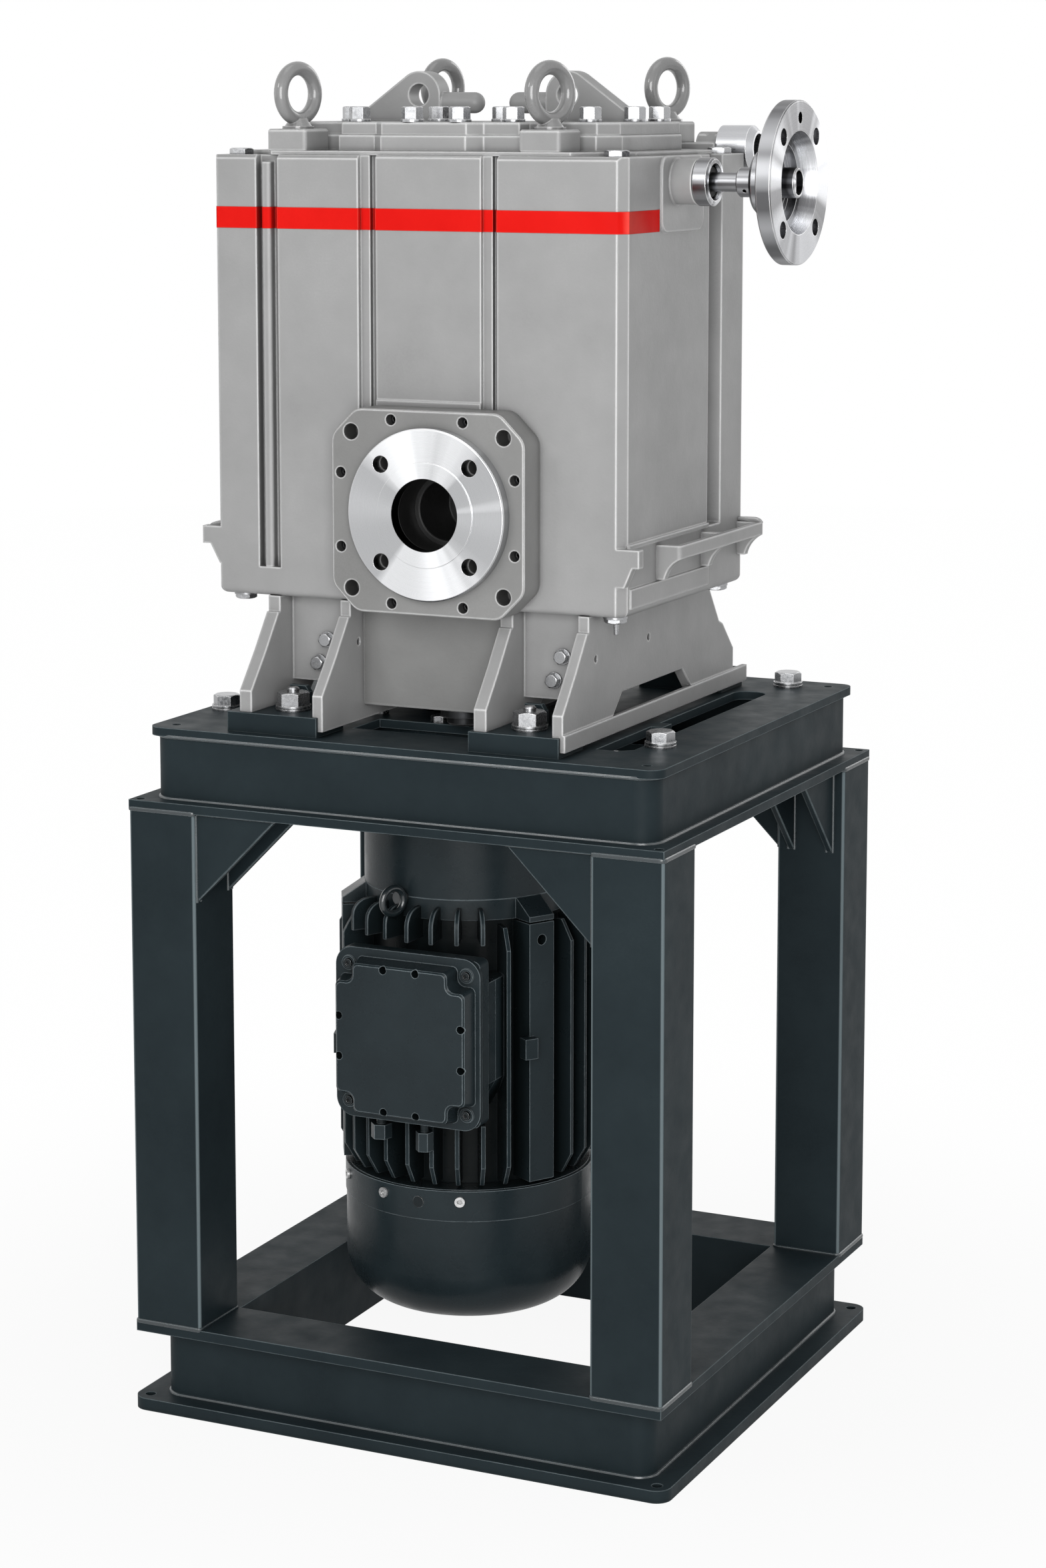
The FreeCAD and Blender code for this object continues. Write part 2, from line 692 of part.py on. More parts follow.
def deck_bolts():
    pieces = []
    for x, y in FRAME_BOLTS:
        pieces += hex_bolt(x, y, Z_DECK, FRAME_BOLT_R, DECK_T, FRAME_BOLT_ACROSS, FRAME_BOLT_HEAD,
                           FRAME_WASHER_R, 2)
    for x, y in anchor_places():
        pieces += hex_bolt(x, y, Z_FOOT, ANCHOR_R, PAD_T + DECK_T, ANCHOR_ACROSS, ANCHOR_HEAD,
                           ANCHOR_WASHER_R, 2, 5.0)
    for x, y in bell_bolt_places():
        pieces += hex_bolt(x, y, Z_DECK, BELL_BOLT_R, DECK_T, 19.0, 8.0)
    save("stand_bolts", pieces + web_bolts())


# Pedestal

def anchor_clip(x, y):
    """The small upright lug beside an anchor bolt, its top turned over."""
    y1 = y + math.copysign(CLIP_T, -y)
    outline = [(x, Z_FOOT - 1), (x + CLIP_W, Z_FOOT - 1), (x + CLIP_W, Z_FOOT + CLIP_H * 0.7),
               (x + CLIP_W * 0.8, Z_FOOT + CLIP_H), (x, Z_FOOT + CLIP_H)]
    return plate_xz(outline, min(y, y1), max(y, y1))


def foot_pads():
    pads = []
    for name, x0, x1, pad_x0, pad_x1 in feet():
        for y0, y1 in ((PAD_FRONT_Y, PAD_FRONT_Y + PAD_FRONT_L),
                       (PAD_REAR_Y - PAD_FRONT_L, PAD_REAR_Y)):
            pad = box(pad_x0, pad_x1, y0, y1, Z_DECK, Z_FOOT)
            for x, y in anchor_places():
                if pad_x0 < x < pad_x1 and y0 < y < y1:
                    pad = pad.cut(disc(x, y, Z_DECK, Z_FOOT, ANCHOR_R))
                    y_clip = y - math.copysign(ANCHOR_WASHER_R + 3, y)
                    pad = pad.fuse(anchor_clip(x + CLIP_SHIFT, y_clip))
            pads.append(pad)
    save("foot_pads", pads)


def foot_wall(x0, x1):
    """One kinked side wall of a foot, with the window along its lower edge."""
    z_toe = Z_FOOT + TOE_H
    z_knee = Z_FOOT + KNEE_H
    outline = [(FOOT_FRONT_Y, Z_FOOT), (FOOT_FRONT_Y, z_toe),
               (FOOT_FRONT_Y + KNEE_RUN, z_knee), (BLOCK_FRONT_Y - 2, Z_BLOCK - BROW_H),
               (BLOCK_FRONT_Y + 2, Z_BLOCK - BROW_H), (BLOCK_FRONT_Y + 2, Z_BLOCK),
               (BLOCK_REAR_Y, Z_BLOCK), (FOOT_REAR_Y - KNEE_RUN - 12, z_knee + 3),
               (FOOT_REAR_Y - KNEE_RUN, z_knee - 2), (FOOT_REAR_Y, z_toe + 5),
               (FOOT_REAR_Y, Z_FOOT)]
    wall = plate_yz(outline, x0, x1)
    window = [(WINDOW_Y0, Z_FOOT), (WINDOW_Y0 + WINDOW_SLOPE, Z_FOOT + WINDOW_H),
              (WINDOW_Y1 - WINDOW_SLOPE, Z_FOOT + WINDOW_H), (WINDOW_Y1, Z_FOOT)]
    return wall.cut(plate_yz(window, x0, x1))


def foot(name, x0, x1):
    outer1 = x1 - (RIGHT_SKIRT_LEDGE if name == "right" else 0.0)
    inner0 = x0 + FOOT_WALL_T
    inner1 = outer1 - FOOT_RIGHT_WALL_T
    left_wall = foot_wall(x0, inner0)
    right_wall = foot_wall(inner1, outer1)
    for y, h in FOOT_HOLES:
        right_wall = right_wall.cut(rod_x(y, Z_FOOT + h, inner1, outer1, FOOT_HOLE_R))
    front_web = box(inner0, inner1, WEB_PLATE_Y, WEB_PLATE_Y + WEB_PLATE_T,
                    Z_FOOT + TOE_H, Z_BLOCK)
    rear_web = box(inner0, inner1, REAR_WEB_Y, REAR_WEB_Y + WEB_PLATE_T,
                   Z_FOOT + TOE_H, Z_BLOCK)
    top = box(inner0, inner1, WEB_PLATE_Y, BLOCK_REAR_Y, Z_BLOCK - FOOT_TOP_T, Z_BLOCK)
    z_skirt = Z_FOOT + 3.0
    skirt = box(x1 - SKIRT_T, x1, FOOT_FRONT_Y, SKIRT_REAR_Y, z_skirt - SKIRT_H, z_skirt)
    for x, z in foot_web_bolt_places(x0, x1):
        front_web = front_web.cut(rod_y(x, z, WEB_PLATE_Y, WEB_PLATE_Y + WEB_PLATE_T, WEB_BOLT_R))
    save("foot_" + name, [join([left_wall, right_wall, front_web, rear_web, top, skirt])])


def foot_web_bolt_places(x0, x1):
    middle = (x0 + x1) / 2
    yield middle + 8.5, Z_FOOT + FOOT_H * 0.59
    yield middle - 2.0, Z_FOOT + FOOT_H * 0.37


def web_bolts():
    """Flanged hex bolts on the recessed web of each foot, heads towards -Y."""
    pieces = []
    for name, x0, x1, pad_x0, pad_x1 in feet():
        for x, z in foot_web_bolt_places(x0, x1):
            shank = rod_y(x, z, WEB_PLATE_Y, WEB_PLATE_Y + WEB_PLATE_T, WEB_BOLT_R)
            collar = rod_y(x, z, WEB_PLATE_Y - WASHER_T, WEB_PLATE_Y, WEB_BOLT_COLLAR_R)
            head = hex_head(0, 0, 0, 8.0, WEB_BOLT_ACROSS)
            head.rotate(Vector(0, 0, 0), Vector(1, 0, 0), 90)
            head.translate(Vector(x, WEB_PLATE_Y - WASHER_T, z))
            pieces.append(join([shank, collar, head]))
    return pieces


def gearbox_case():
    """Oil sump between the feet: open at the top, where the block closes it."""
    x0 = LEFT_FOOT_X + LEFT_FOOT_W
    x1 = RIGHT_FOOT_X
    case = box(x0, x1, PANEL_Y, CASE_REAR_Y, Z_FOOT, Z_BLOCK)
    case = case.makeFillet(3.0, [e for e in case.Edges
                                 if abs(e.CenterOfMass.y - PANEL_Y) < 0.01
                                 and abs(e.CenterOfMass.z - Z_FOOT) < 0.01])
    sump = box(x0 + CASE_WALL, x1 - CASE_WALL, PANEL_Y + CASE_WALL, CASE_REAR_Y - CASE_WALL,
               Z_FOOT + CASE_FLOOR, Z_BLOCK)
    case = case.cut(sump.makeFillet(8.0, upright_edges(sump)))
    neck = disc(DRIVE_X, SHAFT_Y, Z_FOOT, Z_FOOT + CASE_FLOOR + 20, CASE_SEAL_R + 8)
    case = case.fuse(neck).cut(disc(DRIVE_X, SHAFT_Y, Z_FOOT, Z_BLOCK, CASE_SEAL_R))
    case = case.cut(disc(PLUG_X, PLUG_Y, Z_FOOT, Z_FOOT + CASE_FLOOR, PLUG_R * 0.5))
    save("gearbox_case", [case.removeSplitter()])

    cover = rounded_box(x1 - x0 - 30, CASE_REAR_Y - PLUG_Y - PLUG_R - 20, Z_FOOT - CASE_COVER_T,
                        Z_FOOT, 12.0, (x0 + x1) / 2, (CASE_REAR_Y + PLUG_Y + PLUG_R) / 2)
    cover = cover.cut(disc(DRIVE_X, SHAFT_Y, Z_FOOT - CASE_COVER_T, Z_FOOT, SHAFT_R + 1))
    save("gearbox_cover", [cover])

    flange = disc(PLUG_X, PLUG_Y, Z_FOOT - 8, Z_FOOT, PLUG_R)
    cap = disc(PLUG_X, PLUG_Y, Z_FOOT - 18, Z_FOOT - 8, PLUG_R * 0.72)
    stem = disc(PLUG_X, PLUG_Y, Z_FOOT, Z_FOOT + CASE_FLOOR, PLUG_R * 0.5)
    save("drain_plug", [join([flange, cap.makeChamfer(2.0, [cap.Edges[2]]), stem])])


# Pump block

def figure_eight(r, z0, z1):
    return disc(DRIVE_X, SHAFT_Y, z0, z1, r).fuse(disc(DRIVEN_X, SHAFT_Y, z0, z1, r))


def front_groove(x0, w, z0, step_w=0.0):
    """A vertical channel in the front face, open at the top, with a raised step."""
    y0 = BLOCK_FRONT_Y
    groove = box(x0, x0 + w, y0, y0 + GROOVE_DEPTH, z0, Z_BLOCK_TOP)
    if step_w:
        groove = groove.cut(box(x0, x0 + step_w, y0 + STEP_DEPTH, y0 + GROOVE_DEPTH,
                                z0, Z_BLOCK_TOP))
    return groove


def corner_bracket(x_wall, side):
    """The cast hook at a lower front corner of the block."""
    z = Z_BLOCK + RIDGE_H
    reach = BRACKET_REACH_RIGHT if side > 0 else -BRACKET_REACH_LEFT
    outline = [(x_wall - side * 12, z), (x_wall + reach, z), (x_wall + reach, z - 20),
               (x_wall + reach * 0.55, z - 20), (x_wall, z - 42), (x_wall - side * 12, z - 42)]
    return plate_xz(outline, BLOCK_FRONT_Y, BLOCK_FRONT_Y + 12)


def block_corner_screw_places():
    for x in (BLOCK_X0 + CORNER_SCREW_INSET, BLOCK_X1 - CORNER_SCREW_INSET):
        for y in (BLOCK_FRONT_Y + 24, BLOCK_REAR_Y - 24):
            yield x, y


def pump_block():
    block = box(BLOCK_X0, BLOCK_X1, BLOCK_FRONT_Y, BLOCK_REAR_Y, Z_BLOCK, Z_BLOCK_TOP)
    block = block.makeChamfer(CORNER_BEVEL, upright_edges(block, lambda x, y: x > 0 and y < 0))
    low = [e for e in block.Edges if abs(e.BoundBox.ZMax - Z_BLOCK) < 0.01]
    block = block.makeFillet(8.0, low)
    block = block.makeFillet(3.0, upright_edges(block, lambda x, y: x < 0 and y < 0))
    bevel = [(BLOCK_FRONT_Y, Z_BLOCK_TOP - TOP_BEVEL), (BLOCK_FRONT_Y + TOP_BEVEL, Z_BLOCK_TOP),
             (BLOCK_FRONT_Y, Z_BLOCK_TOP)]
    block = block.cut(plate_yz(bevel, BLOCK_X0, BLOCK_X1))

    for x_wall, side in ((BLOCK_X1, 1), (BLOCK_X0, -1)):
        low_x = min(x_wall, x_wall + side * SIDE_BAND_T)
        high_x = max(x_wall, x_wall + side * SIDE_BAND_T)
        band = box(low_x, high_x, BLOCK_FRONT_Y + 14, RIB_GAP_Y0,
                   Z_BLOCK + 9, Z_BLOCK + SIDE_BAND_H)
        ridge = box(low_x, high_x, BLOCK_FRONT_Y + 8, RIB_GAP_Y0,
                    Z_BLOCK + RIDGE_H - 1, Z_BLOCK + RIDGE_H + RIDGE_T)
        block = block.fuse([band, ridge, corner_bracket(x_wall, side)])
        gap = box(min(x_wall, x_wall - side * RIB_GAP_DEPTH), max(x_wall, x_wall - side * RIB_GAP_DEPTH),
                  RIB_GAP_Y0, RIB_GAP_Y1, Z_BLOCK + RIDGE_H, Z_BLOCK_TOP)
        block = block.cut(gap)

    side_pad = box(BLOCK_X1, BLOCK_X1 + SIDE_PAD_T, SIDE_PAD_Y0, SIDE_PAD_Y1,
                   Z_BLOCK_TOP - SIDE_PAD_H, Z_BLOCK_TOP)
    side_pad = side_pad.makeFillet(14.0, [e for e in side_pad.Edges
                                          if abs(e.Length - SIDE_PAD_T) < 0.01])
    boss = rod_x(PORT_Y, Z_PORT, BLOCK_X1, BLOCK_X1 + BOSS_L, BOSS_R)
    block = block.fuse([side_pad, boss])

    grooves = [front_groove(BAR_GROOVE_X, BAR_GROOVE_W, Z_BLOCK + BAR_BOTTOM_H),
               front_groove(LEFT_GROOVE_X, LEFT_GROOVE_W, Z_OUTLET, GROOVE_STEP_W),
               front_groove(RIGHT_GROOVE_X, RIGHT_GROOVE_W, Z_OUTLET, GROOVE_STEP_W)]
    ledge = box(LEFT_GROOVE_X + LEFT_GROOVE_W, RIGHT_GROOVE_X, BLOCK_FRONT_Y,
                BLOCK_FRONT_Y + PANEL_RECESS, Z_OUTLET + PAD_H / 2 + PANEL_LEDGE_RISE, Z_BLOCK_TOP)
    block = block.cut(grooves + [ledge])
    bar_y = BLOCK_FRONT_Y + GROOVE_DEPTH
    bar = box(BAR_X, BAR_X + BAR_W, BLOCK_FRONT_Y + 1, bar_y, Z_BLOCK + BAR_BOTTOM_H,
              Z_BLOCK_TOP - 8)
    bar = bar.makeFillet(3.5, upright_edges(bar, lambda x, y: y < bar_y - 1))
    block = block.fuse(bar)

    gear_space = join([disc(x, SHAFT_Y, Z_BLOCK, Z_WEB, GEAR_SPACE_R) for x in AXES]
                      + [box(DRIVE_X, DRIVEN_X, SHAFT_Y - GEAR_SPACE_R, SHAFT_Y + GEAR_SPACE_R,
                             Z_BLOCK, Z_WEB)])
    block = block.cut([gear_space, figure_eight(CHAMBER_R, Z_STAGES, Z_BLOCK_TOP)])
    for x in AXES:
        block = block.cut(disc(x, SHAFT_Y, Z_WEB, Z_WEB + BEARING_SEAT_H, BEARING_R))
        block = block.cut(disc(x, SHAFT_Y, Z_WEB, Z_STAGES, SEAL_R))

    outlet = rod_y(FLANGE_X, Z_OUTLET, BLOCK_FRONT_Y, BLOCK_FRONT_Y + 72, OUTLET_R - 6)
    throat = box(FLANGE_X - 20, FLANGE_X + 20, BLOCK_FRONT_Y + 50, SHAFT_Y - PITCH_R,
                 Z_STAGES + 2, Z_OUTLET + OUTLET_R - 8)
    duct_x = BLOCK_X1 - 40
    duct = [rod_x(PORT_Y, Z_PORT, duct_x, BLOCK_X1 + BOSS_L, PORT_DUCT_R),
            disc(duct_x, PORT_Y, Z_PORT - PORT_DROP, Z_PORT, PORT_DUCT_R),
            rod_x(PORT_Y, Z_PORT - PORT_DROP, DRIVEN_X, duct_x, PORT_DUCT_R)]
    header_duct = rod_y(COVER_X, Z_BLOCK_TOP - HEADER_DUCT_DROP, SHAFT_Y + PITCH_R, BLOCK_REAR_Y,
                        HEADER_DUCT_R)
    block = block.cut([outlet, throat, header_duct] + duct)
    for x, y in block_corner_screw_places():
        block = block.cut(disc(x, y, Z_BLOCK, Z_BLOCK + CORNER_SCREW_DEPTH, CORNER_SCREW_R))
        block = block.cut(disc(x, y, Z_BLOCK_TOP - CORNER_SCREW_DEPTH, Z_BLOCK_TOP, CORNER_SCREW_R))
    save("pump_block", [block.removeSplitter()])


def corner_screws():
    """Flat hex heads over and under the block's corners."""
    pieces = []
    for x, y in block_corner_screw_places():
        pieces += hex_bolt(x, y, Z_BLOCK_TOP, CORNER_SCREW_R, CORNER_SCREW_DEPTH, 24.0, 7.0)
        for under in hex_bolt(x, y, Z_BLOCK, CORNER_SCREW_R, CORNER_SCREW_DEPTH, 22.0, 5.0, 13.5):
            pieces.append(under.mirror(Vector(x, y, Z_BLOCK), Vector(0, 0, 1)))
    return pieces


def side_rail(name, x_wall, side):
    z1 = Z_BLOCK + RAIL_Z + RAIL_BAR_H
    z0 = Z_BLOCK + RAIL_Z
    outer = x_wall + side * RAIL_REACH
    inner = outer - side * RAIL_BAR_T
    bar = box(min(inner, outer), max(inner, outer), RAIL_Y0, RAIL_Y1, z0, z1)
    pieces = [bar]
    for y in (RAIL_Y0, (RAIL_Y0 + RAIL_Y1 - BRACKET_T) / 2 + 10, RAIL_Y1 - BRACKET_T):
        corners = [Vector(x_wall, y, z1), Vector(outer, y, z1), Vector(outer, y, z0),
                   Vector(x_wall + side * 10, y, z0 - BRACKET_DROP), Vector(x_wall, y, z0 - BRACKET_DROP)]
        hollow = Vector(x_wall + side * 17, y, z0 - BRACKET_DROP * 0.4)
        lines = [Part.makeLine(corners[i - 1], corners[i]) for i in (1, 2, 4, 0)]
        lines.insert(2, Part.Arc(corners[2], hollow, corners[3]).toShape())
        pieces.append(Part.Face(Part.Wire(lines)).extrude(Vector(0, BRACKET_T, 0)))
    rail = join(pieces)
    corners = upright_edges(rail, lambda x, y: abs(x - outer) < 0.01
                            and (abs(y - RAIL_Y0) < 0.01 or abs(y - RAIL_Y1) < 0.01))
    save(name, [rail.makeFillet(5.0, corners)])


# Outlet

def pad_outline(w, h, bevel):
    a = w / 2
    b = h / 2
    return [(-a + bevel, -b), (a - bevel, -b), (a, -b + bevel), (a, b - bevel),
            (a - bevel, b), (-a + bevel, b), (-a, b - bevel), (-a, -b + bevel)]


def pad_screw_places():
    for sx in (-1, 1):
        for sz in (-1, 1):
            yield PAD_X + sx * PAD_W * 0.186, Z_OUTLET + sz * (PAD_H / 2 - 11.5)
            yield PAD_X + sx * (PAD_W / 2 - 11.5), Z_OUTLET + sz * PAD_H * 0.182


def flange_hole_places():
    for i in range(4):
        a = math.radians(45 + 90 * i)
        yield FLANGE_X + FLANGE_PCD / 2 * math.cos(a), Z_OUTLET + FLANGE_PCD / 2 * math.sin(a)


def outlet_pad():
    points = [(PAD_X + x, Z_OUTLET + z) for x, z in pad_outline(PAD_W, PAD_H, PAD_BEVEL)]
    pad = plate_xz(points, PAD_FACE_Y, BLOCK_FRONT_Y)
    along = [e for e in pad.Edges if abs(e.Length - PAD_DEPTH) < 0.01]
    pad = pad.makeFillet(PAD_CORNER_R, along)
    front = [e for e in pad.Edges if abs(e.BoundBox.YMax - PAD_FACE_Y) < 0.01]
    pad = pad.makeChamfer(1.5, front)
    pad = pad.cut(rod_y(FLANGE_X, Z_OUTLET, PAD_FACE_Y, BLOCK_FRONT_Y, OUTLET_R))
    for sx in (-1, 1):
        for sz in (-1, 1):
            pad = pad.cut(rod_y(PAD_X + sx * PAD_HOLE_DX / 2, Z_OUTLET + sz * PAD_HOLE_DZ / 2,
                                PAD_FACE_Y, PAD_FACE_Y + TAPPED_DEPTH, PAD_HOLE_R))
    for x, z in flange_hole_places():
        pad = pad.cut(rod_y(x, z, PAD_FACE_Y, PAD_FACE_Y + TAPPED_DEPTH, TAPPED_R))
    for x, z in pad_screw_places():
        pad = pad.cut(rod_y(x, z, PAD_FACE_Y, BLOCK_FRONT_Y, PAD_SCREW_R))
    save("outlet_pad", [pad])


def pad_screws():
    """Socket screws sunk deep in the pad's small holes."""
    pieces = []
    for x, z in pad_screw_places():
        head = rod_y(x, z, PAD_FACE_Y + 12, BLOCK_FRONT_Y, PAD_SCREW_R)
        pieces.append(head.cut(rod_y(x, z, PAD_FACE_Y + 12, PAD_FACE_Y + 17, PAD_SCREW_R * 0.5)))
    save("pad_screws", pieces)


def outlet_flange():
    y0 = PAD_FACE_Y - FLANGE_T
    ring = rod_y(FLANGE_X, Z_OUTLET, y0, PAD_FACE_Y, FLANGE_R)
    ring = ring.makeChamfer(1.5, [e for e in ring.Edges if abs(e.BoundBox.YMax - y0) < 0.01])
    face = rod_y(FLANGE_X, Z_OUTLET, y0 - FLANGE_FACE_T, y0, FLANGE_FACE_R)
    ring = ring.fuse(face).cut(rod_y(FLANGE_X, Z_OUTLET, y0 - FLANGE_FACE_T, PAD_FACE_Y, OUTLET_R))
    for x, z in flange_hole_places():
        ring = ring.cut(rod_y(x, z, y0, PAD_FACE_Y, FLANGE_HOLE_R))
    save("outlet_flange", [ring])


# Top covers and lifting gear

def cover_outline(inset):
    """Right half from front to rear, then the same points mirrored."""
    w = COVER_HALF_W
    nose = -COVER_FRONT_L + inset
    brow = -COVER_FRONT_L * 0.917 + inset
    shoulder = -COVER_FRONT_L * 0.652 + inset
    rear = COVER_REAR_L - inset
    back = COVER_REAR_L * 0.867 - inset
    half = [(w * 0.257, nose), (w * 0.332 - inset * 0.4, brow), (w * 0.554 - inset, brow),
            (w * 0.554 - inset, -COVER_FRONT_L * 0.762), (w * 0.653, shoulder), (w * 0.891, shoulder),
            (w - inset, -COVER_FRONT_L * 0.53), (w - inset, COVER_REAR_L * 0.6),
            (w * 0.851, back), (w * 0.297, back), (w * 0.223, rear)]
    points = half + [(-x, y) for x, y in reversed(half)]
    return [(COVER_X + x, COVER_Y + y) for x, y in points]


# Each bolt's share of the cover's half width, and of its length to the front or the rear
COVER_BOLTS = ((-0.743, 0.333), (-0.743, -0.331), (-0.475, -0.807), (-0.099, -0.917), (0.188, -0.917),
               (0.436, -0.74), (0.792, -0.486), (0.911, -0.11), (0.911, 0.417), (0.644, 0.733),
               (0.149, 0.867), (-0.149, 0.867), (-0.644, 0.7), (-0.198, -0.331), (0.198, -0.331),
               (0.0, 0.433))


def cover_bolt_places():
    for x_share, y_share in COVER_BOLTS:
        reach = COVER_REAR_L if y_share > 0 else COVER_FRONT_L
        yield COVER_X + x_share * COVER_HALF_W, COVER_Y + y_share * reach


def top_covers():
    margin = TOP_PLATE_MARGIN
    plate = box(BLOCK_X0 + margin, BLOCK_X1 - margin, BLOCK_FRONT_Y + margin * 0.5,
                BLOCK_REAR_Y, Z_BLOCK_TOP, Z_COVER)
    plate = plate.makeChamfer(54.0, upright_edges(plate, lambda x, y: y < 0))
    plate = plate.makeChamfer(62.0, upright_edges(plate, lambda x, y: y > 0))
    plate = plate.fuse(figure_eight(CHAMBER_R, Z_SPIGOT, Z_BLOCK_TOP))
    for x in AXES:
        plate = plate.cut(disc(x, SHAFT_Y, Z_SPIGOT + 20, Z_COVER, BEARING_R))
        plate = plate.cut(disc(x, SHAFT_Y, Z_SPIGOT, Z_COVER, SHAFT_R + 0.4))
    save("top_plate", [plate.removeSplitter()])

    lower = plate_xy(cover_outline(0.0), Z_COVER, Z_COVER_MID)
    save("cover_lower", [lower.makeChamfer(1.0, [e for e in lower.Edges
                                                 if abs(e.BoundBox.ZMin - Z_COVER_MID) < 0.01])])
    upper = plate_xy(cover_outline(COVER_STEP), Z_COVER_MID, Z_COVER_TOP)
    upper = upper.makeChamfer(1.5, [e for e in upper.Edges
                                    if abs(e.BoundBox.ZMin - Z_COVER_TOP) < 0.01])
    for x, y in cover_bolt_places():
        upper = upper.cut(disc(x, y, Z_COVER_MID, Z_COVER_TOP, COVER_BOLT_R))
    save("cover_upper", [upper])

    bolts = []
    for x, y in cover_bolt_places():
        bolts += hex_bolt(x, y, Z_COVER_TOP, COVER_BOLT_R, COVER_UPPER_T, COVER_BOLT_ACROSS,
                          COVER_BOLT_HEAD, COVER_WASHER_R)
    save("pump_bolts", bolts + corner_screws())


EYES = {"front_left": (BLOCK_X0 + EYE_LEFT_INSET, EYE_FRONT_Y, -14.0),
        "front_right": (BLOCK_X1 - EYE_RIGHT_INSET, EYE_FRONT_Y, -21.0),
        "rear_left": (BLOCK_X0 + EYE_REAR_LEFT_INSET, EYE_REAR_Y, -16.0),
        "rear_right": (BLOCK_X1 - EYE_REAR_RIGHT_INSET, EYE_REAR_Y, -20.0)}


def eye_seat(name):
    return Z_COVER if name.startswith("front") else Z_HEADER_TOP


def eye_blocks():
    blocks = []
    for name, (x, y, turn) in EYES.items():
        z0 = eye_seat(name)
        z1 = z0 + EYE_BLOCK_H
        block = rounded_box(EYE_BLOCK_W, EYE_BLOCK_D, z0, z1, 4.0, x, y)
        block = block.makeChamfer(2.0, [e for e in block.Edges if e.BoundBox.ZMin > z1 - 0.01])
        blocks.append(block.cut(disc(x, y, z0, z1, EYE_SHANK_R)))
    save("eye_blocks", blocks)


def eye_bolts():
    pieces = []
    for name, (x, y, turn) in EYES.items():
        z0 = eye_seat(name) + EYE_BLOCK_H
        ring = Part.makeTorus(EYE_RING_R, EYE_BAR_R, Vector(x, y, z0 + EYE_CENTRE_H),
                              Vector(math.cos(math.radians(turn)), math.sin(math.radians(turn)), 0))
        foot_disc = disc(x, y, z0, z0 + 3, EYE_COLLAR_R + 2)
        collar = Part.makeCone(EYE_COLLAR_R, EYE_COLLAR_R * 0.62, 9.0, Vector(x, y, z0 + 2))
        shank = disc(x, y, z0 - EYE_BLOCK_H, z0, EYE_SHANK_R)
        pieces.append(join([ring, foot_disc, collar, shank]))
    save("eye_bolts", pieces + [motor_eye()])


def lug_profile(x_hole, tail_dir):
    """A lug's outline: round head, upright inner side and a tail that slopes down."""
    z_c = Z_COVER_TOP + LUG_CENTRE_H
    x_in = x_hole - tail_dir * LUG_R
    x_tail = x_hole + tail_dir * LUG_TAIL
    distance = math.hypot(x_tail - x_hole, Z_COVER_TOP - z_c)
    toward = math.atan2(Z_COVER_TOP - z_c, (x_tail - x_hole) * tail_dir)
    touch = toward + math.acos(LUG_R / distance)
    tx = x_hole + tail_dir * LUG_R * math.cos(touch)
    tz = z_c + LUG_R * math.sin(touch)
    y = COVER_Y + LUG_SHIFT_Y - LUG_T / 2
    v = [Vector(x_in, y, Z_COVER_TOP), Vector(x_in, y, z_c), Vector(x_hole, y, z_c + LUG_R),
         Vector(tx, y, tz), Vector(x_tail, y, Z_COVER_TOP)]
    quarter = math.pi * 3 / 4
    mid1 = Vector(x_hole + tail_dir * LUG_R * math.cos(quarter), y, z_c + LUG_R * math.sin(quarter))
    half = (touch + math.pi / 2) / 2
    mid2 = Vector(x_hole + tail_dir * LUG_R * math.cos(half), y, z_c + LUG_R * math.sin(half))
    edges = [Part.LineSegment(v[0], v[1]).toShape(), Part.Arc(v[1], mid1, v[2]).toShape(),
             Part.Arc(v[2], mid2, v[3]).toShape(), Part.LineSegment(v[3], v[4]).toShape(),
             Part.LineSegment(v[4], v[0]).toShape()]
    body = Part.Face(Part.Wire(edges)).extrude(Vector(0, LUG_T, 0))
    return body.cut(rod_y(x_hole, z_c, y, y + LUG_T, LUG_HOLE_R))


def lifting_lugs():
    """Two lugs with their tails outwards, and a round-ended bar on each inner side."""
    lugs = []
    y = COVER_Y + LUG_SHIFT_Y
    z = Z_COVER_TOP + TRUNNION_RISE
    for tail_dir in (-1, 1):
        x_hole = COVER_X + tail_dir * LUG_SPAN
        x_in = x_hole - tail_dir * LUG_R
        x_end = COVER_X + tail_dir * (TRUNNION_GAP / 2 + TRUNNION_R * 0.5)
        bar = rod_x(y, z, min(x_in, x_end), max(x_in, x_end), TRUNNION_R)
        dome = Part.makeSphere(TRUNNION_R, Vector(x_end, y, z))
        lugs.append(join([lug_profile(x_hole, tail_dir), bar, dome]))
    save("lifting_lugs", lugs)


# Side port

def turned_about_port(points):
    """A solid of revolution about the side port's axis from (x, radius) points."""
    outline = [Vector(x, PORT_Y, Z_PORT + r) for x, r in points]
    face = Part.Face(Part.makePolygon(outline + outline[:1]))
    return face.revolve(Vector(0, PORT_Y, Z_PORT), Vector(1, 0, 0), 360)


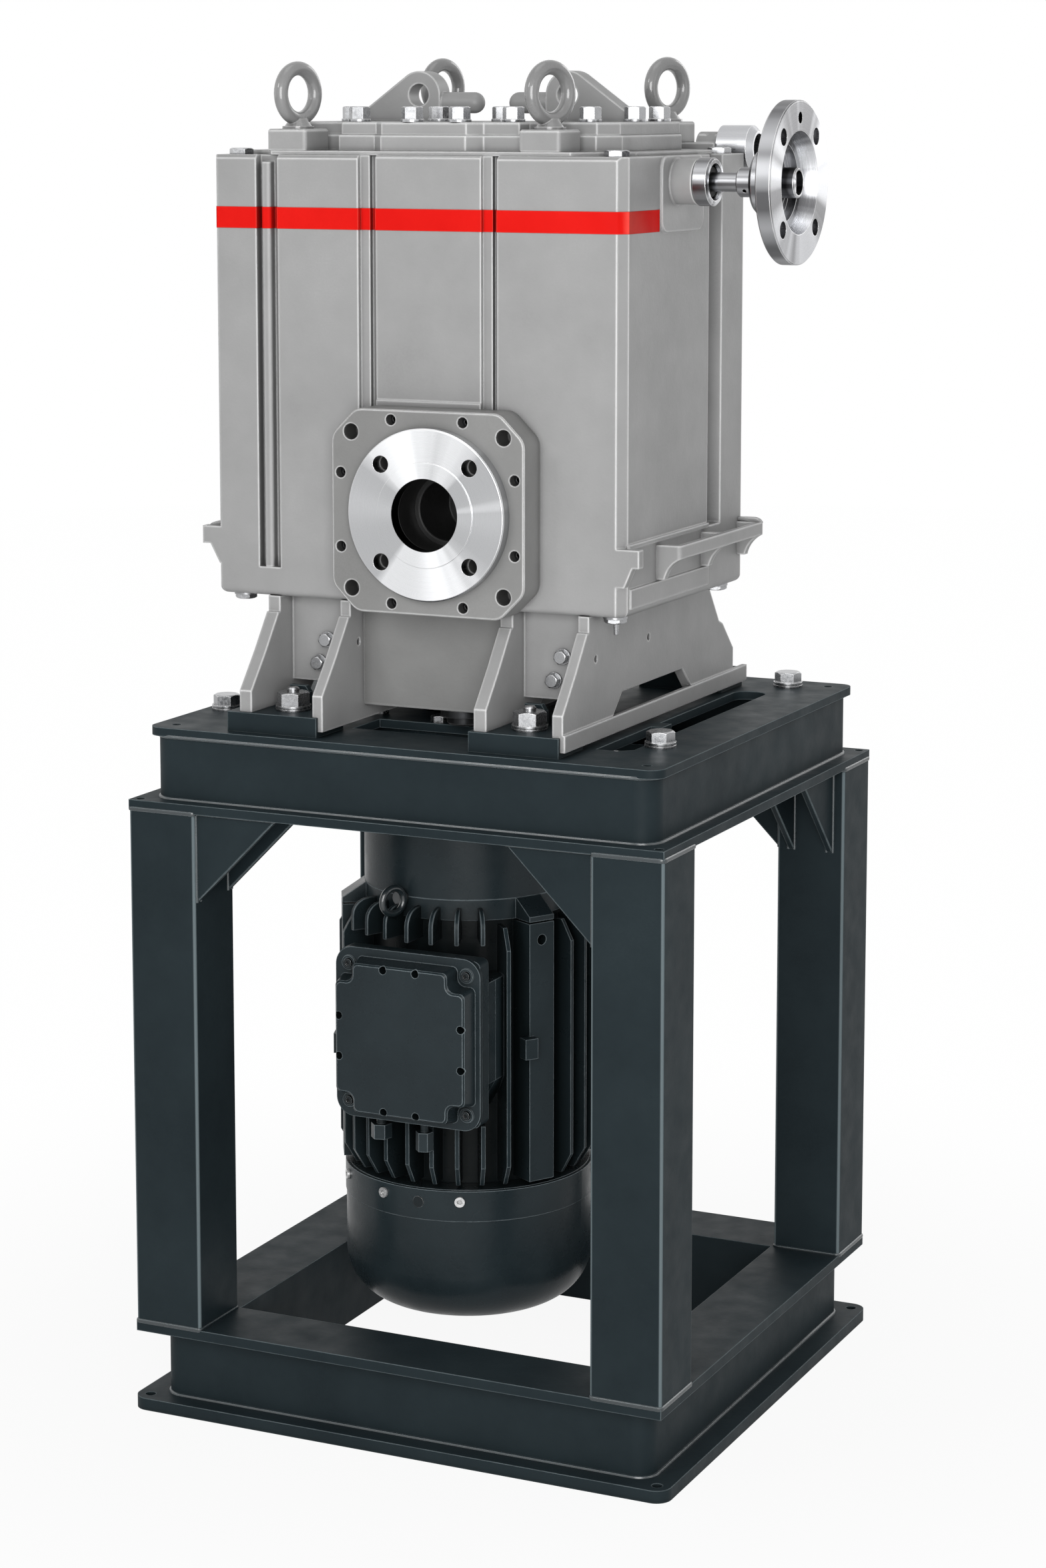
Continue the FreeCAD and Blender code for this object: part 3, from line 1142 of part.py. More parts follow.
def side_dish():
    """The ring's carrier: a hub on the tube that widens in steps to the ring's back."""
    step = X_RING - DISH_STEP
    t = DISH_WALL
    dish = turned_about_port([
        (X_HUB, TUBE_R), (X_HUB, HUB_R - 1.5), (X_HUB + 1.5, HUB_R), (X_DISH, HUB_R),
        (X_DISH, DISH_SMALL_R - 4), (X_DISH + 4, DISH_SMALL_R), (step, DISH_SMALL_R),
        (step, DISH_LARGE_R), (X_RING - t, DISH_LARGE_R), (X_RING - t, DISH_LIP_R),
        (X_RING, DISH_LIP_R), (X_RING, DISH_LARGE_R - t), (step + t, DISH_LARGE_R - t),
        (step + t, DISH_SMALL_R - t), (X_DISH + t + 2, DISH_SMALL_R - t),
        (X_DISH + t, DISH_SMALL_R - t - 2), (X_DISH + t, TUBE_R)])
    screw = rod_y(X_HUB + HUB_L * 0.45, Z_PORT, PORT_Y - HUB_R - 1, PORT_Y - TUBE_R, SET_SCREW_R)
    screw.rotate(Vector(0, PORT_Y, Z_PORT), Vector(1, 0, 0), 35)
    return dish.cut(screw)


def side_port():
    nut = rod_x(PORT_Y, Z_PORT, X_BOSS, X_NUT, NUT_R)
    nut = nut.makeChamfer(2.0, [e for e in nut.Edges if abs(e.BoundBox.XMin - X_NUT) < 0.01
                                or abs(e.BoundBox.XMax - X_BOSS) < 0.01])
    mouth = Part.makeCone(TUBE_R + 6, TUBE_R + 10, NUT_L - 6, Vector(X_BOSS + 6, PORT_Y, Z_PORT),
                          Vector(1, 0, 0))
    nut = nut.cut([mouth, rod_x(PORT_Y, Z_PORT, X_BOSS, X_NUT, TUBE_R)])
    save("side_nut", [nut])
    seal = rod_x(PORT_Y, Z_PORT, X_BOSS + 6, X_NUT - 4, TUBE_R + 6)
    save("side_seal", [seal.cut(rod_x(PORT_Y, Z_PORT, X_BOSS + 6, X_NUT - 4, TUBE_R))])

    tube = rod_x(PORT_Y, Z_PORT, X_BOSS, X_TUBE_END - SLEEVE_L, TUBE_R)
    sleeve = rod_x(PORT_Y, Z_PORT, X_TUBE_END - SLEEVE_L, X_TUBE_END - 1, SLEEVE_R)
    sleeve = sleeve.makeChamfer(1.2, [e for e in sleeve.Edges
                                      if abs(e.BoundBox.XMin - X_TUBE_END + 1) < 0.01])
    tube = tube.fuse(sleeve).cut(rod_x(PORT_Y, Z_PORT, X_BOSS, X_TUBE_END, TUBE_R - TUBE_WALL))
    mouth = rod_x(PORT_Y, Z_PORT, X_TUBE_END - 24, X_TUBE_END, SLEEVE_R - 3)
    flat = box(X_TUBE_END - 24, X_TUBE_END, PORT_Y - SLEEVE_R, PORT_Y - TUBE_R + 2,
               Z_PORT - SLEEVE_R, Z_PORT + SLEEVE_R)
    save("side_tube", [tube.cut(mouth.cut(flat)).removeSplitter()])

    save("side_spider", [side_dish()])

    ring = rod_x(PORT_Y, Z_PORT, X_RING, X_TUBE_END, RING_R)
    ring = ring.makeChamfer(1.5, [e for e in ring.Edges if abs(e.BoundBox.XLength) < 0.01])
    opening = Part.makeCone(RING_BACK_R, RING_OPENING_R, RING_T, Vector(X_RING, PORT_Y, Z_PORT),
                            Vector(1, 0, 0))
    ring = ring.cut(opening)
    for i in range(4):
        a = math.radians(45 + 90 * i)
        ring = ring.cut(rod_x(PORT_Y + RING_PCD / 2 * math.cos(a),
                              Z_PORT + RING_PCD / 2 * math.sin(a), X_RING, X_TUBE_END, RING_HOLE_R))
    ring = ring.cut(rod_x(PORT_Y, Z_PORT + RING_PCD / 2, X_TUBE_END - 8, X_TUBE_END, RING_PIN_R))
    save("side_ring", [ring])


# Rear header

def header_hook():
    """A small cast hook with a round notch, over the header's right end."""
    z = Z_HEADER_TOP
    x1 = HEADER_X1
    x0 = x1 - HOOK_W
    hook = box(x0, x1, HEADER_PORT_Y - HOOK_T, HEADER_PORT_Y, z - 2, z + HOOK_H)
    return hook.cut(rod_y((x0 + x1) / 2 + 2, z + HOOK_H, HEADER_PORT_Y - HOOK_T, HEADER_PORT_Y, 6.0))


def rear_header():
    y1 = BLOCK_REAR_Y + HEADER_D
    header = box(HEADER_X0, HEADER_X1, BLOCK_REAR_Y, y1, Z_HEADER_TOP - HEADER_H, Z_HEADER_TOP)
    header = header.makeChamfer(12.0, upright_edges(header, lambda x, y: y > BLOCK_REAR_Y + 1))
    boss = rod_x(HEADER_PORT_Y, HEADER_PORT_Z, HEADER_X1 - 28, HEADER_X1, HEADER_BOSS_R)
    boss = boss.common(box(HEADER_X0, HEADER_X1, BLOCK_REAR_Y, y1, Z_BLOCK, Z_HEADER_TOP + 40))
    header = header.fuse([boss, header_hook()])
    inside = box(HEADER_X0 + HEADER_WALL, HEADER_X1 - HEADER_WALL, BLOCK_REAR_Y + HEADER_WALL,
                 y1 - HEADER_WALL, Z_HEADER_TOP - HEADER_H + HEADER_WALL, Z_HEADER_TOP - HEADER_WALL)
    header = header.cut(inside)
    header = header.cut(rod_y(COVER_X, Z_BLOCK_TOP - HEADER_DUCT_DROP, BLOCK_REAR_Y,
                              BLOCK_REAR_Y + HEADER_WALL, HEADER_DUCT_R))
    header = header.cut(rod_x(HEADER_PORT_Y, HEADER_PORT_Z, HEADER_X1 - HEADER_WALL, HEADER_X1,
                              REAR_PORT_BORE_R))
    save("rear_header", [header])

    collar = rod_x(HEADER_PORT_Y, HEADER_PORT_Z, HEADER_X1, HEADER_X1 + REAR_PORT_L, REAR_PORT_R)
    end = [e for e in collar.Edges if abs(e.BoundBox.XMin - HEADER_X1 - REAR_PORT_L) < 0.01]
    collar = collar.makeChamfer(7.0, end)
    collar = collar.cut(rod_x(HEADER_PORT_Y, HEADER_PORT_Z, HEADER_X1, HEADER_X1 + REAR_PORT_L,
                              REAR_PORT_BORE_R))
    save("rear_collar", [collar])


# Shafts, claws and gears

def shafts():
    z_top = Z_SPIGOT + 20 + BEARING_H + 2
    z_gear = Z_BLOCK + (GEAR_SPACE_H - GEAR_WIDTH) / 2
    drive = disc(DRIVE_X, SHAFT_Y, Z_FOOT + CASE_FLOOR, z_top, SHAFT_R)
    drive = drive.fuse([disc(DRIVE_X, SHAFT_Y, Z_FOOT - CASE_COVER_T, Z_FOOT + CASE_FLOOR, SEAL_SHAFT_R),
                        disc(DRIVE_X, SHAFT_Y, Z_HUB_TOP - COUPLING_HUB_H, Z_FOOT - CASE_COVER_T,
                             COUPLING_BORE_R)])
    save("drive_shaft", [drive.removeSplitter()])
    driven = disc(DRIVEN_X, SHAFT_Y, z_gear - 6, z_top, SHAFT_R)
    save("driven_shaft", [driven.makeChamfer(1.5, [e for e in driven.Edges
                                                   if abs(e.BoundBox.ZLength) < 0.01])])


def polar(r, degrees, z):
    a = math.radians(degrees)
    return Vector(r * math.cos(a), r * math.sin(a), z)


def roll_curve(arm, angle):
    """A point at radius arm of one rotor, seen from the other after a turn."""
    x = SHAFT_DISTANCE * math.cos(angle) - arm * math.cos(2 * angle)
    y = SHAFT_DISTANCE * math.sin(angle) - arm * math.sin(2 * angle)
    return math.hypot(x, y), math.degrees(math.atan2(y, x))


def curve(points):
    spline = Part.BSplineCurve()
    spline.interpolate(points)
    return spline.toShape()


def arc(r, start, end, z):
    return Part.Arc(polar(r, start, z), polar(r, (start + end) / 2, z), polar(r, end, z)).toShape()


def claw_face(z):
    """A claw rotor's outline: the hook, its land and back, the body and the pocket.

    The claw stands from 0 degrees anticlockwise, and the pocket that takes the
    other rotor's claw lies clockwise of it.  Each flank is the path of the
    other rotor's corner, turned back a little for clearance.
    """
    a = SHAFT_DISTANCE
    tip = CLAW_TIP_R - CLAW_CLEARANCE
    body = PITCH_R - CLAW_CLEARANCE
    root = a - CLAW_TIP_R
    back_off = CLAW_TURN_CLEARANCE_DEG
    hook_end = math.acos((a * a + CLAW_TIP_R ** 2 - tip * tip) / (2 * a * CLAW_TIP_R))
    back_end = math.acos((a * a + PITCH_R ** 2 - tip * tip) / (2 * a * PITCH_R))
    span = math.degrees(math.acos((a * a + PITCH_R ** 2 - CLAW_TIP_R ** 2) / (2 * a * PITCH_R)))
    span = roll_curve(PITCH_R, math.radians(span))[1]
    pocket_end = math.acos((a * a + CLAW_TIP_R ** 2 - body * body) / (2 * a * CLAW_TIP_R))
    land = CLAW_LAND_DEG

    hook = []
    for i in range(CURVE_STEPS + 1):
        r, turn = roll_curve(CLAW_TIP_R, hook_end * i / CURVE_STEPS)
        hook.append(polar(r, abs(turn) + back_off, z))
    back = []
    for i in range(CURVE_STEPS + 1):
        r, turn = roll_curve(PITCH_R, back_end * i / CURVE_STEPS)
        back.append(polar(max(r, body) if i else body, land + span - turn - back_off, z))
    pocket = []
    for i in range(CURVE_STEPS + 1):
        r, turn = roll_curve(CLAW_TIP_R, pocket_end * i / CURVE_STEPS)
        pocket.append(polar(r, -land - abs(turn) - back_off, z))

    def degrees(point):
        return math.degrees(math.atan2(point.y, point.x))

    body_start = degrees(back[0])
    body_end = degrees(pocket[-1]) + 360
    edges = [curve(hook), arc(tip, degrees(hook[-1]), degrees(back[-1]), z),
             curve(list(reversed(back))), arc(body, body_start, body_end, z),
             curve(list(reversed(pocket))), arc(root, degrees(pocket[0]), degrees(hook[0]), z)]
    return Part.Face(Part.Wire(edges))


def claws():
    """Three claw rotors on each shaft, one in every stage."""
    drive = []
    driven = []
    z = Z_STAGES
    for height in STAGE_HEIGHTS:
        z0 = z + CLAW_END_CLEARANCE
        rotor = claw_face(z0).extrude(Vector(0, 0, height - 2 * CLAW_END_CLEARANCE))
        rotor = rotor.cut(disc(0, 0, z0, z0 + height, SHAFT_R))
        drive.append(moved(turned(rotor, 0, 0, CLAW_REST_DEG), DRIVE_X, SHAFT_Y))
        driven.append(moved(turned(rotor, 0, 0, 180 - CLAW_REST_DEG), DRIVEN_X, SHAFT_Y))
        z += height + STAGE_PLATE_T
    save("drive_claws", drive)
    save("driven_claws", driven)

    plates = []
    z = Z_STAGES
    for height in STAGE_HEIGHTS[:-1]:
        z += height
        plate = figure_eight(CHAMBER_R, z, z + STAGE_PLATE_T)
        for x in AXES:
            plate = plate.cut(disc(x, SHAFT_Y, z, z + STAGE_PLATE_T, SHAFT_R + 0.4))
        plates.append(plate.removeSplitter())
        z += STAGE_PLATE_T
    save("stage_plates", plates)


def gear_face(teeth, z):
    """A spur gear's outline with involute flanks, one tooth centred on 0 degrees."""
    pitch_r = GEAR_MODULE * teeth / 2
    pressure = math.radians(GEAR_PRESSURE_DEG)
    base_r = pitch_r * math.cos(pressure)
    outer_r = pitch_r + GEAR_MODULE - 0.15
    root_r = pitch_r - 1.25 * GEAR_MODULE
    half_tooth = math.pi / 2 / teeth - GEAR_BACKLASH / 2 / pitch_r
    involute = math.tan(pressure) - pressure

    def half_angle(r):
        a = math.acos(min(1.0, base_r / r))
        return math.degrees(half_tooth + involute - (math.tan(a) - a))

    radii = [max(base_r, root_r + 0.3), pitch_r - 1.2, pitch_r + 0.9, outer_r]
    points = []
    for tooth in range(teeth):
        middle = 360.0 * tooth / teeth
        foot_half = half_angle(radii[0])
        points.append(polar(root_r, middle - foot_half - 0.6, z))
        points += [polar(r, middle - half_angle(r), z) for r in radii]
        points += [polar(r, middle + half_angle(r), z) for r in reversed(radii)]
        points.append(polar(root_r, middle + foot_half + 0.6, z))
    return Part.Face(Part.makePolygon(points + points[:1]))


def gears():
    teeth = round(SHAFT_DISTANCE / GEAR_MODULE)
    z0 = Z_BLOCK + (GEAR_SPACE_H - GEAR_WIDTH) / 2
    blank = gear_face(teeth, z0).extrude(Vector(0, 0, GEAR_WIDTH))
    blank = blank.cut(disc(0, 0, z0, z0 + GEAR_WIDTH, SHAFT_R))
    web_r = PITCH_R - 3 * GEAR_MODULE
    for low, high in ((z0, z0 + 8), (z0 + GEAR_WIDTH - 8, z0 + GEAR_WIDTH)):
        hollow = disc(0, 0, low, high, web_r).cut(disc(0, 0, low, high, SHAFT_R + 10))
        blank = blank.cut(hollow)
    save("drive_gear", [moved(blank, DRIVE_X, SHAFT_Y)])
    offset = 180.0 + 180.0 / teeth if teeth % 2 == 0 else 0.0
    save("driven_gear", [moved(turned(blank, 0, 0, offset), DRIVEN_X, SHAFT_Y)])


def ring(x, z0, z1, inner, outer):
    return disc(x, SHAFT_Y, z0, z1, outer).cut(disc(x, SHAFT_Y, z0, z1, inner))


def pump_bearings():
    inner = SHAFT_R + RUNNING_FIT
    z_low = Z_WEB + BEARING_SEAT_H - BEARING_H
    z_high = Z_SPIGOT + 20
    rings = []
    for x in AXES:
        rings.append(ring(x, z_low, z_low + BEARING_H, inner, BEARING_R))
        rings.append(ring(x, z_high, z_high + BEARING_H, inner, BEARING_R))
    save("bearings", rings + motor_bearings())
    seals = [ring(x, Z_STAGES - SEAL_H - 2, Z_STAGES - 2, inner, SEAL_R) for x in AXES]
    seals.append(ring(DRIVE_X, Z_FOOT, Z_FOOT + SEAL_H, SEAL_SHAFT_R + RUNNING_FIT, CASE_SEAL_R))
    save("shaft_seals", seals)


# Coupling

def jaw_sector(z0, z1, degrees, span, inner, outer):
    """A wedge of a ring about the drive shaft."""
    half = span / 2
    face = Part.Face(Part.Wire([
        arc(outer, degrees - half, degrees + half, z0),
        Part.makeLine(polar(outer, degrees + half, z0), polar(inner, degrees + half, z0)),
        arc(inner, degrees + half, degrees - half, z0),
        Part.makeLine(polar(inner, degrees - half, z0), polar(outer, degrees - half, z0))]))
    return moved(face.extrude(Vector(0, 0, z1 - z0)), DRIVE_X, SHAFT_Y)


def coupling():
    low = COUPLING_MIDDLE_Z - COUPLING_GAP / 2
    high = COUPLING_MIDDLE_Z + COUPLING_GAP / 2
    inner = COUPLING_R * 0.5
    lower = disc(DRIVE_X, SHAFT_Y, low - COUPLING_HUB_H, low, COUPLING_R)
    upper = disc(DRIVE_X, SHAFT_Y, high, high + COUPLING_HUB_H, COUPLING_R)
    clear = COUPLING_FIT
    for i in range(3):
        lower = lower.fuse(jaw_sector(low, high - clear, 120 * i, COUPLING_JAW_DEG, inner, COUPLING_R))
        upper = upper.fuse(jaw_sector(low + clear, high, 120 * i + 60, COUPLING_JAW_DEG, inner,
                                      COUPLING_R))
    lower = lower.cut(disc(DRIVE_X, SHAFT_Y, low - COUPLING_HUB_H, low, MOTOR_SHAFT_R))
    upper = upper.cut(disc(DRIVE_X, SHAFT_Y, high, high + COUPLING_HUB_H, COUPLING_BORE_R))
    save("coupling_hub_motor", [lower])
    save("coupling_hub_pump", [upper])
    star = ring(DRIVE_X, low + clear, high - clear, inner - 8, inner)
    for i in range(6):
        lobe = 60 - COUPLING_JAW_DEG
        star = star.fuse(jaw_sector(low + clear, high - clear, 60 * i + 30, lobe, inner - 0.5,
                                    COUPLING_R))
    save("coupling_spider", [star.removeSplitter()])


# Motor

def motor_bell():
    bell = ring(DRIVE_X, Z_BELL, Z_DECK_UNDER, BELL_R - BELL_WALL, BELL_R)
    foot_ring = ring(DRIVE_X, Z_BELL, Z_BELL + 14, BELL_R - BELL_WALL - 18, BELL_R)
    bell = bell.fuse(foot_ring)
    for x, y in bell_bolt_places():
        bell = bell.cut(disc(x, y, Z_DECK_UNDER - 20, Z_DECK_UNDER, 4.0))
    save("motor_bell", [bell.removeSplitter()])


def mount_pad_degrees():
    """The motor's four long pads, two on each side."""
    return [s * MOUNT_PAD_DEG + b for b in (0, 180) for s in (-1, 1)]


def shield_ear():
    """A sloping cast ear of the front shield, over a mounting pad."""
    z0 = Z_MOTOR_TOP
    outline = [(DRIVE_X + MOTOR_R - 8, z0), (DRIVE_X + FIN_R - 4, z0), (DRIVE_X + FIN_R - 4, z0 + 6),
               (DRIVE_X + BELL_R, Z_BELL), (DRIVE_X + MOTOR_R - 8, Z_BELL)]
    return plate_xz(outline, SHAFT_Y - MOUNT_PAD_W / 2, SHAFT_Y + MOUNT_PAD_W / 2)


def motor_shields():
    z1 = Z_BELL
    z0 = Z_MOTOR_TOP
    shield = disc(DRIVE_X, SHAFT_Y, z0, z1, BELL_R)
    ears = [turned(shield_ear(), DRIVE_X, SHAFT_Y, degrees) for degrees in mount_pad_degrees()]
    shield = shield.fuse(ears)
    shield = shield.fuse(disc(DRIVE_X, SHAFT_Y, z0 - 12, z0, MOTOR_R - MOTOR_WALL))
    shield = shield.cut(disc(DRIVE_X, SHAFT_Y, z0 - 12, z0 + 12, MOTOR_SHAFT_R * 2))
    shield = shield.cut(disc(DRIVE_X, SHAFT_Y, z0, z1, MOTOR_SHAFT_R + 2))
    save("motor_front_shield", [shield.removeSplitter()])

    z1 = Z_MOTOR
    z0 = Z_MOTOR - REAR_SHIELD_T
    rear = disc(DRIVE_X, SHAFT_Y, z0, z1, COWL_R - COWL_WALL)
    rear = rear.fuse(disc(DRIVE_X, SHAFT_Y, z1, z1 + 12, MOTOR_R - MOTOR_WALL))
    rear = rear.cut(disc(DRIVE_X, SHAFT_Y, z1 - 12, z1 + 12, MOTOR_SHAFT_R * 2))
    rear = rear.cut(disc(DRIVE_X, SHAFT_Y, z0, z1, MOTOR_SHAFT_R + 2))
    rear = rear.cut(radial_rod(COWL_PLUG_DEG, COWL_R - 20, COWL_R, Z_MOTOR - COWL_PLUG_DROP, 4.0))
    for angle in COWL_SCREW_DEGS:
        rear = rear.cut(radial_rod(angle, COWL_R - 20, COWL_R - COWL_WALL, Z_COWL_SCREW, 3.5))
    save("motor_rear_shield", [rear.removeSplitter()])


def motor_bearings():
    bearings = [ring(DRIVE_X, Z_MOTOR_TOP - 12, Z_MOTOR_TOP + 12, MOTOR_SHAFT_R + RUNNING_FIT,
                     MOTOR_SHAFT_R * 2),
                ring(DRIVE_X, Z_MOTOR - 12, Z_MOTOR + 12, MOTOR_SHAFT_R + RUNNING_FIT,
                     MOTOR_SHAFT_R * 2)]
    return bearings


def radial_rod(degrees, r0, r1, z, r):
    """A round bar that points outwards from the motor's axis."""
    a = math.radians(degrees)
    out = Vector(math.cos(a), math.sin(a), 0)
    start = Vector(DRIVE_X, SHAFT_Y, z) + out * r0
    return Part.makeCylinder(r, r1 - r0, start, out)


def turned_profile(points):
    """A solid of revolution about the motor's axis from (radius, z) points."""
    outline = [Vector(DRIVE_X + r, SHAFT_Y, z) for r, z in points]
    face = Part.Face(Part.makePolygon(outline + outline[:1]))
    return face.revolve(Vector(DRIVE_X, SHAFT_Y, 0), Vector(0, 0, 1), 360)


def box_gap(degrees):
    """True where the terminal box leaves no room for a whole fin."""
    return abs((degrees - 270 + 180) % 360 - 180) < 37


def comb(degrees_list, z0, z1, low, high):
    """Radial fins between two levels, their ends bevelled by one turned shape."""
    envelope = turned_profile([(0, z0), (FIN_R - low * FIN_BEVEL_SLOPE, z0), (FIN_R, z0 + low),
                               (FIN_R, z1 - high), (FIN_R - high * FIN_BEVEL_SLOPE, z1), (0, z1)])
    blade = box(DRIVE_X + MOTOR_R - 4, DRIVE_X + FIN_R + 1, SHAFT_Y - FIN_T / 2,
                SHAFT_Y + FIN_T / 2, z0, z1)
    blades = [turned(blade, DRIVE_X, SHAFT_Y, degrees) for degrees in degrees_list]
    return Part.makeCompound(blades).common(envelope).Solids


def motor_frame():
    z0 = Z_MOTOR
    z1 = Z_MOTOR_TOP
    frame = disc(DRIVE_X, SHAFT_Y, z0, z1, MOTOR_R)
    pad_degrees = mount_pad_degrees()
    pitch = 360.0 / FIN_COUNT
    places = [FIN_START_DEG + i * pitch for i in range(FIN_COUNT)]
    places = [d for d in places
              if all(abs((d - p + 180) % 360 - 180) > pitch * 0.7 for p in pad_degrees)]
    whole = [d for d in places if not box_gap(d)]
    cut_short = [d for d in places if box_gap(d)]
    pieces = comb(whole, z0 + 4, z1 - 6, FIN_BEVEL, FIN_BEVEL)
    pieces += comb(cut_short, BOX_Z + BOX_H / 2 + 8, z1 - 6, 1.0, 8.0)
    pieces += comb(cut_short, z0 + 4, BOX_Z - BOX_H / 2 - 8, FIN_BEVEL, 1.0)
    for p in pad_degrees:
        pad = box(DRIVE_X + MOTOR_R - 10, DRIVE_X + FIN_R - 4, SHAFT_Y - MOUNT_PAD_W / 2,
                  SHAFT_Y + MOUNT_PAD_W / 2, z0 + 6, z1 - 2)
        pad = pad.cut(rod_x(SHAFT_Y, z1 - 22, DRIVE_X + MOTOR_R, DRIVE_X + FIN_R, 6.0))
        pieces.append(turned(pad, DRIVE_X, SHAFT_Y, p))
    pieces.append(plate_xz(neck_outline(0.0), Y_BOX_BACK, SHAFT_Y - MOTOR_R + BOX_BASE_DEPTH))
    for number, rise in FIN_CLIPS:
        z = Z_MOTOR + rise
        clip = box(DRIVE_X + FIN_R - 6, DRIVE_X + FIN_R + FIN_CLIP_RISE, SHAFT_Y - 14,
                   SHAFT_Y + FIN_T / 2, z - 12, z + 12)
        pieces.append(turned(clip, DRIVE_X, SHAFT_Y, FIN_START_DEG + number * pitch))
    frame = frame.fuse(pieces)
    frame = frame.cut(disc(DRIVE_X, SHAFT_Y, z0, z1, MOTOR_R - MOTOR_WALL))
    save("motor_frame", [frame.removeSplitter()])


def motor_core():
    z_mid = (Z_MOTOR + Z_MOTOR_TOP) / 2
    z0 = z_mid - STATOR_H / 2
    z1 = z_mid + STATOR_H / 2
    save("motor_stator", [ring(DRIVE_X, z0, z1, STATOR_BORE_R, MOTOR_R - MOTOR_WALL)])
    save("motor_rotor", [ring(DRIVE_X, z0, z1, MOTOR_SHAFT_R, STATOR_BORE_R - AIR_GAP)])
    z_top = COUPLING_MIDDLE_Z - COUPLING_GAP / 2
    z_low = Z_MOTOR - REAR_SHIELD_T - 36
    shaft = disc(DRIVE_X, SHAFT_Y, z_low, z_top, MOTOR_SHAFT_R)
    save("motor_shaft", [shaft.makeChamfer(1.5, [e for e in shaft.Edges
                                                 if abs(e.BoundBox.ZLength) < 0.01])])


def motor_fan():
    z1 = Z_MOTOR - REAR_SHIELD_T - 5
    z0 = z1 - FAN_T
    hub = ring(DRIVE_X, z0, z1, MOTOR_SHAFT_R, MOTOR_SHAFT_R + 12)
    plate = ring(DRIVE_X, z1 - 4, z1, MOTOR_SHAFT_R + 6, FAN_R)
    blade = box(DRIVE_X + MOTOR_SHAFT_R + 6, DRIVE_X + FAN_R, SHAFT_Y - 2, SHAFT_Y + 2, z0, z1 - 4)
    blades = [turned(blade, DRIVE_X, SHAFT_Y, i * 360.0 / FAN_BLADES) for i in range(FAN_BLADES)]
    save("motor_fan", [join([hub, plate] + blades)])


def fan_cowl():
    z1 = Z_MOTOR - 1.0
    z_step = z1 - COWL_BAND_H
    lower_r = COWL_R - COWL_STEP
    low = disc(DRIVE_X, SHAFT_Y, Z_COWL, z_step, lower_r)
    low = low.makeFillet(COWL_FILLET, [e for e in low.Edges if abs(e.BoundBox.ZMax - Z_COWL) < 0.01])
    band = disc(DRIVE_X, SHAFT_Y, z_step, z1, COWL_R)
    inner_r = COWL_R - COWL_WALL
    inside = disc(DRIVE_X, SHAFT_Y, Z_COWL + COWL_WALL, z1, inner_r)
    inside = inside.makeFillet(COWL_FILLET - COWL_WALL, [
        e for e in inside.Edges if abs(e.BoundBox.ZMax - Z_COWL - COWL_WALL) < 0.01])
    cowl = low.fuse(band).cut(inside)
    slot = box(DRIVE_X + 26, DRIVE_X + lower_r - COWL_FILLET - 4, SHAFT_Y - 3.5, SHAFT_Y + 3.5,
               Z_COWL, Z_COWL + COWL_WALL)
    slots = [turned(slot, DRIVE_X, SHAFT_Y, i * 360.0 / COWL_SLOTS) for i in range(COWL_SLOTS)]
    cowl = cowl.cut(slots)
    for angle in COWL_SCREW_DEGS:
        cowl = cowl.cut(radial_rod(angle, COWL_R - 8, COWL_R + 1, Z_COWL_SCREW, 3.5))
    z_plug = Z_MOTOR - COWL_PLUG_DROP
    cowl = cowl.cut([radial_rod(COWL_PLUG_DEG, COWL_R - 8, COWL_R, z_plug, 4.0),
                     radial_rod(COWL_PLUG_DEG, COWL_R - 1.5, COWL_R + 1, z_plug, 6.6)])
    save("fan_cowl", [cowl.removeSplitter()])


def lid_corner_places():
    for sx in (-1, 1):
        for sz in (-1, 1):
            yield (BOX_MID_X + sx * (BOX_W / 2 - LID_HOLE_INSET_X),
                   BOX_Z + sz * (BOX_H / 2 - LID_HOLE_INSET_Z))


def neck_outline(inset):
    """The neck behind the terminal box, its lower corners cut off."""
    half = NECK_W / 2 - inset
    top = BOX_Z + NECK_RISE - inset
    bottom = BOX_Z - NECK_DROP + inset
    corner = bottom + NECK_CORNER
    return [(BOX_MID_X - half, top), (BOX_MID_X + half, top), (BOX_MID_X + half, corner),
            (BOX_MID_X + half - NECK_CORNER * 0.6, bottom), (BOX_MID_X - half + NECK_CORNER * 0.6, bottom),
            (BOX_MID_X - half, corner)]


def terminal_box():
    y_neck = Y_BOX_FRONT + BOX_FRONT_DEPTH
    half_w = BOX_W / 2 - BOX_LID_STEP
    half_h = BOX_H / 2 - BOX_LID_STEP
    body = box(BOX_MID_X - half_w, BOX_MID_X + half_w, Y_BOX_FRONT, y_neck, BOX_Z - half_h, BOX_Z + half_h)
    corners = [e for e in body.Edges if abs(e.Length - BOX_FRONT_DEPTH) < 0.01]
    body = body.makeFillet(BOX_CORNER_R, corners)
    half_w = BOX_W / 2 - BOX_RIM
    half_h = BOX_H / 2 - BOX_RIM
    inside = box(BOX_MID_X - half_w, BOX_MID_X + half_w, Y_BOX_FRONT, y_neck - BOX_BACK_T,
                 BOX_Z - half_h, BOX_Z + half_h)
    body = body.cut(inside).fuse(plate_xz(neck_outline(0.0), y_neck, Y_BOX_BACK))
    body = body.cut(plate_xz(neck_outline(NECK_WALL), y_neck - BOX_BACK_T, Y_BOX_BACK - BOX_BACK_T))
    z_bore = BOX_Z - BOX_H / 2
    for x, r, _ in glands():
        body = body.cut(disc(x, Y_BOX_FRONT + GLAND_INSET, z_bore, z_bore + GLAND_BORE_DEPTH,
                             r * GLAND_BORE_SHARE))
    for x, z in lid_corner_places():
        body = body.cut(rod_y(x, z, Y_BOX_FRONT, Y_BOX_FRONT + LID_SCREW_BORE_L, LID_SCREW_BORE_R))
    save("terminal_box", [body])

    save("terminal_lid", [terminal_lid()])


